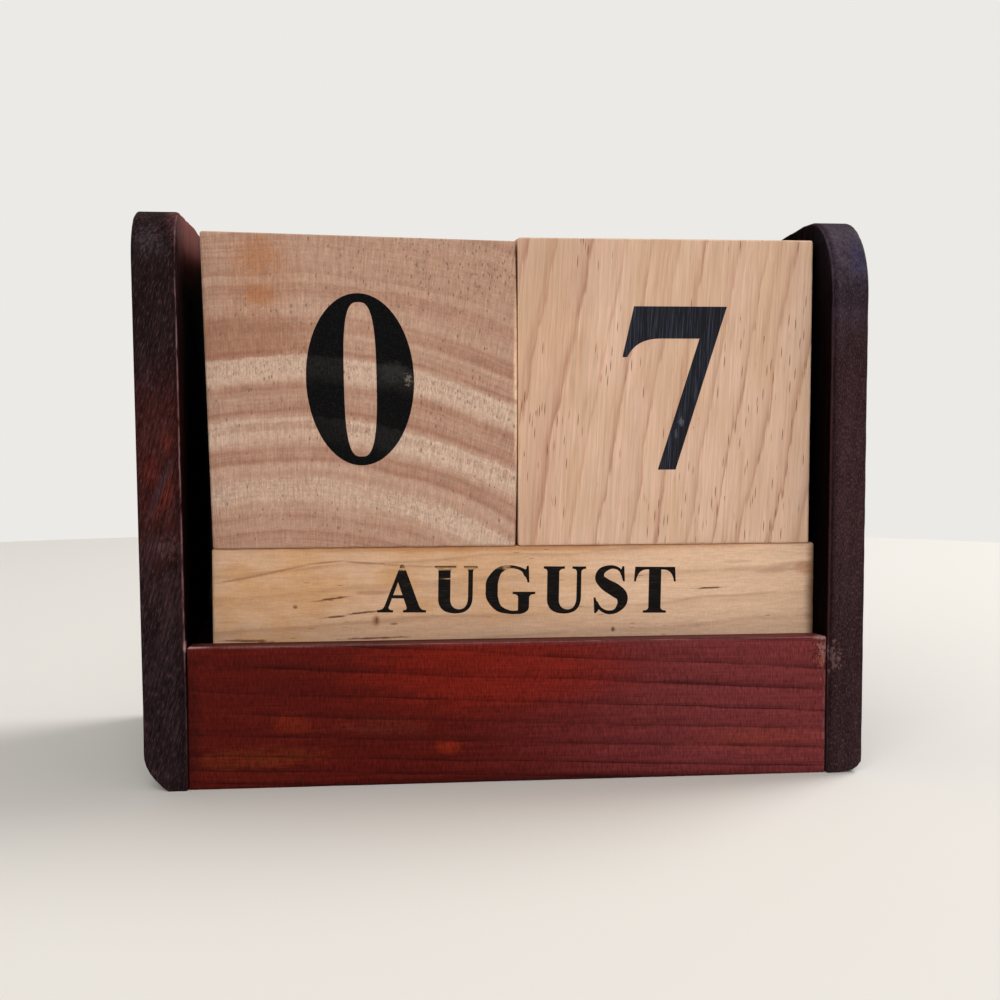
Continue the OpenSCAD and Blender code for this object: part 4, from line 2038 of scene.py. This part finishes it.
# The floor board is painted near black: painted shade, as it lies deep between the rails under the
# bars.
FLOOR_WOOD = replace(
    RAIL_WOOD,
    name="floor_board_painted_shade",
    ground=(26, 10, 9), shade=(20, 8, 7), line=(12, 5, 5), light=(38, 16, 13),
    gloss=0.0,
    stains_and_painted_light=(),
)
LEFT_PANEL_WOOD = WoodFinish(
    name="left_panel_dark_stain",
    ground=(29, 15, 16), shade=(20, 10, 11), line=(11, 6, 7), light=(72, 49, 53),
    pith=(30.0, -70.0, 45.0), lay=(0.0, -14.0, 0.0),
    rings=replace(PANEL_RINGS, step=0.62, line_strength=0.8, evenness=0.7),
    # Pale flecks on the panel: partly the grain, partly painted sheen on the front.
    fibre_strength=4.0, fibre_length=1.2, face_length=16.0, fleck_strength=0.85, fleck_start=0.53,
    blotch_strength=0.4, blotch_reach=2.6,
    roughness=0.5, gloss=0.0, bump=0.8, varnish=0.12, arris_colour=(156, 116, 120),
    arris_strength=0.8, arris_start=0.45,
    pores=Pores(colour=(14, 9, 10), cell=0.5, length=1.8, size=0.2, share=0.2, strength=0.5),
    stains_and_painted_light=(
        StainOrPaintedLight((-55, PANEL_Y, 52), (9, 12, 22), 0.5, 1.2, (78, 28, 21)),
        StainOrPaintedLight((-55, PANEL_Y, 78), (9, 14, 22), 0.65, 1, (25, 9, 9)),
        StainOrPaintedLight((-55.5, PANEL_Y, 12), (9, 12, 21), 0.5, 1, (38, 27, 30)),
        StainOrPaintedLight((-56.9, PANEL_Y, 50.7), (2, 3, 3.6), 0.5, 1.2, (98, 30, 17), ragged=(1.2, 2)),
        StainOrPaintedLight((-54.7, PANEL_Y, 46.7), (4.4, 3, 1.4), 0.55, 1, (98, 33, 18), 69, ragged=(1.2, 2)),
        StainOrPaintedLight((-54.9, PANEL_Y, 55.2), (1.4, 3, 2.6), 0.4, 1.2, (92, 33, 18), ragged=(1.2, 2)),
        StainOrPaintedLight((-55.8, PANEL_Y, 47.5), (7, 3, 0.7), 0.5, 0.9, (56, 42, 49), 69),
        StainOrPaintedLight((-54.6, PANEL_Y, 38.6), (2.6, 3, 1.8), 0.3, 4, (100, 76, 78), ragged=(0.7, 0.7)),
        # Painted light on the top of the inner face, lit from above past the cubes and fading lower
        # down.
        StainOrPaintedLight((-52.8, -6, 92), (3.4, 30, 16), 0.9, 0.4, (148, 88, 82)),
        # Painted highlight: a paler pinkish band on the chamfer of the inner front edge.
        StainOrPaintedLight((-52.6, PANEL_Y, 33), (0.8, 3, 15), 0.5, 0.8, (88, 58, 62)),
        StainOrPaintedLight((-57, PANEL_Y, 87), (2.4, 5, 3.4), 0.26, 4, (88, 78, 82), ragged=(0.5, 0.8)),
        # Painted highlight at the inner front corner, just above the top of the rail.
        StainOrPaintedLight((-52, PANEL_Y, 22.9), (0.6, 4, 1.3), 0.9, 1.2, (206, 156, 158)),
    ),
    # Pale edge only along the inner front edge: partly wear, partly painted highlight on its
    # chamfer.
    rubbed_or_glinting=(Spot((-52, PANEL_Y, 52), (3, 16, 60), 1, 0.4),),
    # Painted shade: the inner face is painted near black, deep in shade beside the cubes.
    painted_shade=(Spot((-52, 0, 38), (2.4, 64, 60), 1, 0.2),),
)
RIGHT_PANEL_WOOD = replace(
    LEFT_PANEL_WOOD,
    name="right_panel_dark_stain",
    # Lighter and bluer than the left panel: partly painted light, as the light falls from the
    # right, partly the board's own tone.
    ground=(46, 28, 30), shade=(36, 22, 24), light=(86, 68, 74),
    lay=(0.0, -4.0, 0.0), rings=replace(PANEL_RINGS, band_strength=0.4),
    # Pale flecks here too: partly the grain, partly painted sheen.
    fibre_strength=2.8, fibre_width=0.19, fibre_length=0.5, edge_lines=0.5, fleck_strength=0.5,
    fleck_start=0.5, blotch_strength=0.15, blotch_reach=6.0,
    # The painted shade on the inner face is darker still on this panel.
    arris_strength=0.05, arris_start=0.4, painted_shade_colour=(5, 2, 2),
    stains_and_painted_light=(
        # Painted sheen: bluish and pale highlights on the top of the front, where the light falls
        # from above.
        StainOrPaintedLight((55, -30, 86), (9, 14, 18), 0.55, 0.7, (66, 58, 72)),
        StainOrPaintedLight((56.6, -31, 85), (1.8, 6, 5), 0.4, 4, (54, 62, 98), ragged=(0.5, 0.8)),
        StainOrPaintedLight((53.6, -30, 87), (2.6, 8, 4.2), 0.14, 4, (112, 98, 110), ragged=(0.5, 0.7)),
        StainOrPaintedLight((55, PANEL_Y, 78.6), (9, 4, 3.4), 0.6, 1.2, (34, 24, 30)),
        StainOrPaintedLight((55, PANEL_Y, 12), (9, 12, 22), 0.5, 1, (44, 24, 24)),
        StainOrPaintedLight((55, PANEL_Y, 50), (9, 12, 24), 0.5, 1, (62, 38, 40)),
        StainOrPaintedLight((52.8, PANEL_Y, 19.4), (0.9, 2, 2.4), 0.35, 9, (146, 112, 112), ragged=(0.6, 0.8)),
    ),
    rubbed_or_glinting=(),
    # Painted shade: the inner face, turned away from the light, is painted near black.
    painted_shade=(Spot((51.5, 0, 50), (2, 90, 110), 1, 0.2),),
)
DOWEL_WOOD = WoodFinish(
    name="dowel_pale_wood",
    ground=(206, 174, 134), shade=(190, 154, 112), line=(160, 120, 82), light=(218, 192, 156),
    pith=(0.0, 60.0, 4.0), lay=(0.0, -90.0, 0.0), rings=BAR_RINGS,
    fibre_strength=0.6,
    arris_colour=(218, 192, 156), arris_strength=0.0,
    pores=Pores(colour=(140, 98, 64), cell=0.6, length=2.5, size=0.2, share=0.2, strength=0.6),
)
LEFT_CUBE_INK = InkFinish(
    "left_cube_ink", LEFT_CUBE_WOOD, black=(10, 9, 10), faded=(52, 50, 48), faded_strength=0.25,
    scuffs=(
        StainOrPaintedLight((-19, CUBE_Y, 66), (3.4, 3, 2.2), 0.3, 1.6, (70, 68, 67)),
        StainOrPaintedLight((-16.5, CUBE_Y, 64.9), (0.7, 3, 1.2), 0.5, 4, (146, 134, 122), ragged=(0.4, 0.5)),
    ),
)
RIGHT_CUBE_INK = InkFinish(
    "right_cube_ink", RIGHT_CUBE_WOOD, black=(31, 31, 36), faded=(66, 70, 84), faded_strength=0.9,
    scuffs=(
        StainOrPaintedLight((28.6, CUBE_Y, 57.9), (0.6, 3, 0.9), 0.45, 2.5, (120, 124, 132), ragged=(0.4, 0.5)),
        StainOrPaintedLight((27.8, CUBE_Y, 55.9), (0.35, 3, 1.2), 0.4, 2, (106, 108, 114), ragged=(0.3, 0.8)),
    ),
)
BAR_INK = InkFinish(
    "bar_ink", BAR_WOOD, black=(20, 18, 18), faded=(60, 50, 43), faded_strength=0.4,
    scuffs=(
        StainOrPaintedLight((-13, BAR_Y, 33.95), (16, 3, 0.34), 0.95, 0.5, (198, 154, 112)),
        StainOrPaintedLight((-9.6, BAR_Y, 32.3), (2.8, 3, 0.14), 0.85, 0.4, (190, 148, 108)),
        StainOrPaintedLight((-16.5, BAR_Y, 34.45), (1.8, 3, 0.5), 0.75, 0.6, (176, 134, 96)),
        StainOrPaintedLight((-8, BAR_Y, 34.45), (9, 3, 0.5), 0.7, 0.9, (124, 92, 62)),
        StainOrPaintedLight((-0.5, BAR_Y, 34.1), (1, 3, 0.7), 0.85, 0.6, (190, 148, 108)),
    ),
)


@dataclass
class Stand:
    """The stand: two side panels, a rail at the front and the back, a floor board and dowels."""

    left: PanelSet = PanelSet(
        node="left_side_panel", finish=LEFT_PANEL_WOOD, edge=0.65, corner=8.5,
        outward=-1, lean=1.0, toe_in=0.9, extra_thickness=0.5,
        foot_inset=3.6, foot_height=5.8, fall=0.05, fall_start=-2.0,
    )
    right: PanelSet = PanelSet(
        node="right_side_panel", finish=RIGHT_PANEL_WOOD, edge=0.6, corner=12.5,
        outward=1, lean=0.1, toe_in=0.0, extra_thickness=-0.2,
        foot_inset=1.3, foot_height=1.9, fall=0.073, fall_start=-15.0, foot_lift=0.5,
    )
    panel_dent: float = 0.25
    rail_edge: float = 0.4
    front_rise: float = 0.4
    floor_edge: float = 0.4
    cell: float = 1.1
    dowel_length: float = 14.0
    body: str = "stand"

    def build(self, shape: SandedBoardShape) -> None:
        """Makes and dresses every piece of the stand.

        Args:
            shape: The tree that makes sanded boards.
        """
        for panel in (self.left, self.right):
            board = Board(
                panel.node, self.body, "panel_wood", panel.edge, self.cell,
                corner_radius=panel.corner, slab=True, dent_depth=self.panel_dent,
            )
            board.build(shape, WoodShader(panel.finish).build(), panel.warp)
        rail = WoodShader(RAIL_WOOD).build()
        for node, edge, material, rise in (
            ("front_rail", self.rail_edge, rail, self.front_rise),
            ("back_rail", self.rail_edge, rail, 0.0),
            ("floor_board", self.floor_edge, WoodShader(FLOOR_WOOD).build(), 0.0),
        ):
            board = Board(node, self.body, "rail_wood", edge, self.cell)
            board.build(shape, material, RaisedFront(node, rise).warp)
        self._dowels()

    def _dowels(self) -> None:
        """Makes the dowels that pin the panels to the rails."""
        shape = DowelShape()
        material = WoodShader(DOWEL_WOOD).build()
        for node in ("front_rail_dowels", "back_rail_dowels"):
            low, high = corners_mm(node)
            diameter = high.y - low.y
            piece = shape.grow(
                f"{node}_wood",
                {
                    "Centre": tuple((low + high) * (MM / 2)),
                    "Span": (high.x - low.x - self.dowel_length) * MM,
                    "Rise": (high.z - low.z - diameter) * MM,
                    "Length": self.dowel_length * MM,
                    "Diameter": diameter * MM,
                    shape.FINISH: material,
                },
            )
            settle(piece, self.body, "dowel_wood", node)


@dataclass
class MonthBars:
    """The three bars that lie in the tray, with a month on each long face."""

    edge: float = 0.45
    extra_length: float = 0.22
    cell: float = 1.0
    letter_height: float = 7.7
    shift: Pair = (1.5, 0.85)
    tilt: float = -0.95

    def build(self, shape: SandedBoardShape, printer: Printer) -> None:
        """Makes, prints and dresses the bars.

        Args:
            shape: The tree that makes sanded boards.
            printer: What lays the ink.
        """
        wood = WoodShader(BAR_WOOD).build()
        ink_material = InkShader(BAR_INK).build()
        sides = (Side.FRONT, Side.TOP, Side.BACK, Side.BOTTOM)
        for place, months in (
            ("front", ("AUGUST", "MAY", "JUNE", "JULY")),
            ("middle", ("JANUARY", "FEBRUARY", "MARCH", "APRIL")),
            ("back", ("SEPTEMBER", "OCTOBER", "NOVEMBER", "DECEMBER")),
        ):
            node = f"month_bar_{place}"
            body = f"{place}_bar"
            longer = OutOfTrue(node, (0.0, 0.0), (self.extra_length, 0.0), 0.0, self.extra_length)
            Board(node, body, "bar_wood", self.edge, self.cell).build(shape, wood, longer.warp)
            imprints = [
                Imprint(month, side, self.letter_height, self.shift, self.tilt)
                for month, side in zip(months, sides)
            ]
            piece = printer.lay(f"{node}_months", node, imprints, ink_material)
            settle(piece, body, "bar_wood")


@dataclass(frozen=True)
class DayCube:
    """One of the two cubes that show the day, with a figure on each face."""

    name: str
    wood: WoodFinish
    ink: InkFinish
    figures: str
    height: float
    shift: Pair
    true: OutOfTrue
    edge: float = 0.35
    cell: float = 1.0
    sides: tuple[Side, ...] = (
        Side.FRONT, Side.RIGHT, Side.BACK, Side.LEFT, Side.TOP, Side.BOTTOM
    )

    def build(self, shape: SandedBoardShape, printer: Printer) -> None:
        """Makes, prints and dresses the cube.

        Args:
            shape: The tree that makes sanded boards.
            printer: What lays the ink.
        """
        node, body, slot = self.true.node, f"{self.name}_cube", f"{self.name}_cube_wood"
        block = Board(node, body, slot, self.edge, self.cell)
        block.build(shape, WoodShader(self.wood).build(), self.true.warp)
        imprints = [
            Imprint(sign, side, self.height, self.shift)
            for sign, side in zip(self.figures, self.sides)
        ]
        ink_material = InkShader(self.ink).build()
        piece = printer.lay(f"{node}_figures", node, imprints, ink_material, self.true.warp)
        settle(piece, body, slot)


DAY_CUBES = (
    DayCube(
        name="left", wood=LEFT_CUBE_WOOD, ink=LEFT_CUBE_INK,
        figures="012345", height=27.6, shift=(-0.5, 2.1),
        true=OutOfTrue("left_day_cube", (-0.35, 0.8), (0.2, -0.25), 1.2, 0.25, belly=0.36),
    ),
    DayCube(
        name="right", wood=RIGHT_CUBE_WOOD, ink=RIGHT_CUBE_INK,
        figures="761280", height=26.7, shift=(1.4, 0.7),
        true=OutOfTrue("right_day_cube", (0.2, 0.35), (-0.3, 0.4), 0.35, -0.45),
    ),
)


@dataclass
class Studio:
    """A pale floor, soft light and the camera of the photograph."""

    floor_radius: float = 0.45
    floor_sides: int = 96
    floor_colour: Colour = (226, 222, 216)
    floor_roughness: float = 0.85
    sky_colour: Colour = (236, 234, 230)
    sky_strength: float = 0.5
    aim: Point = (0.0, 0.0, 0.045)
    key_place: Point = (0.7, 0.35, 0.9)
    key_size: float = 0.6
    key_watts: float = 8.0
    fill_place: Point = (-0.35, -1.3, 0.9)
    fill_size: float = 1.4
    fill_watts: float = 14.5
    lens: float = 56.88
    sensor: float = 36.0
    nearest: float = 0.01
    camera_place: Point = (-31.54, -281.8, 61.78)
    pitch_down: float = 3.67
    turn_right: float = 6.66

    def build(self) -> None:
        """Makes the floor, the sky, the lamps and the camera."""
        self._floor()
        self._sky()
        for name, place, size, watts in (
            ("key_lamp", self.key_place, self.key_size, self.key_watts),
            ("fill_lamp", self.fill_place, self.fill_size, self.fill_watts),
        ):
            lamp = bpy.data.lights.new(name, "AREA")
            lamp.shape = "DISK"
            lamp.size = size
            lamp.energy = watts
            holder = add_object(name, lamp)
            holder.location = place
            way = Vector(self.aim) - Vector(place)
            holder.rotation_euler = way.to_track_quat("-Z", "Y").to_euler()
        self._camera()
        bpy.context.scene.view_settings.view_transform = "Standard"

    def _floor(self) -> None:
        """Makes a round pale floor."""
        reach = self.floor_radius
        turns = [2 * math.pi * step / self.floor_sides for step in range(self.floor_sides)]
        rim = [(reach * math.cos(turn), reach * math.sin(turn), 0.0) for turn in turns]
        mesh = bpy.data.meshes.new("floor")
        mesh.from_pydata(rim, [], [tuple(range(self.floor_sides))])
        material = bpy.data.materials.new("floor_paint")
        material.use_nodes = True
        surface = material.node_tree.nodes["Principled BSDF"]
        surface.inputs["Base Color"].default_value = paint(self.floor_colour)
        surface.inputs["Roughness"].default_value = self.floor_roughness
        mesh.materials.append(material)
        floor = add_object("floor", mesh)

    def _sky(self) -> None:
        """Lights the scene evenly, and shows a pale backdrop to the camera and to gloss."""
        world = bpy.data.worlds.new("studio")
        bpy.context.scene.world = world
        world.use_nodes = True
        graph = Graph(world.node_tree)
        path = graph.node("ShaderNodeLightPath")
        seen = Num(graph, path.outputs["Is Camera Ray"])
        for ray in ("Is Glossy Ray", "Is Transmission Ray"):
            seen = graph.math("MAXIMUM", seen, Num(graph, path.outputs[ray]))
        strength = graph.at_least(self.sky_strength, seen)
        backdrop = world.node_tree.nodes["Background"]
        backdrop.inputs["Color"].default_value = paint(self.sky_colour)
        world.node_tree.links.new(strength.socket, backdrop.inputs["Strength"])

    def _camera(self) -> None:
        """Places the camera where the photograph was taken from."""
        data = bpy.data.cameras.new("camera")
        data.lens = self.lens
        data.sensor_width = self.sensor
        data.clip_start = self.nearest
        camera = add_object("camera", data)
        camera.location = Vector(self.camera_place) * MM
        tilt = QUARTER_TURN - math.radians(self.pitch_down)
        camera.rotation_euler = (tilt, 0.0, -math.radians(self.turn_right))
        bpy.context.scene.camera = camera


def main() -> None:
    """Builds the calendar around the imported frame, piece by piece."""
    logging.basicConfig(level=logging.INFO, format="%(message)s")
    for leftover in list(bpy.data.objects):
        bpy.data.objects.remove(leftover)
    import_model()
    shape = SandedBoardShape()
    printer = Printer()
    Stand().build(shape)
    MonthBars().build(shape, printer)
    for cube in DAY_CUBES:
        cube.build(shape, printer)
    Studio().build()


if __name__ == "__main__":
    main()
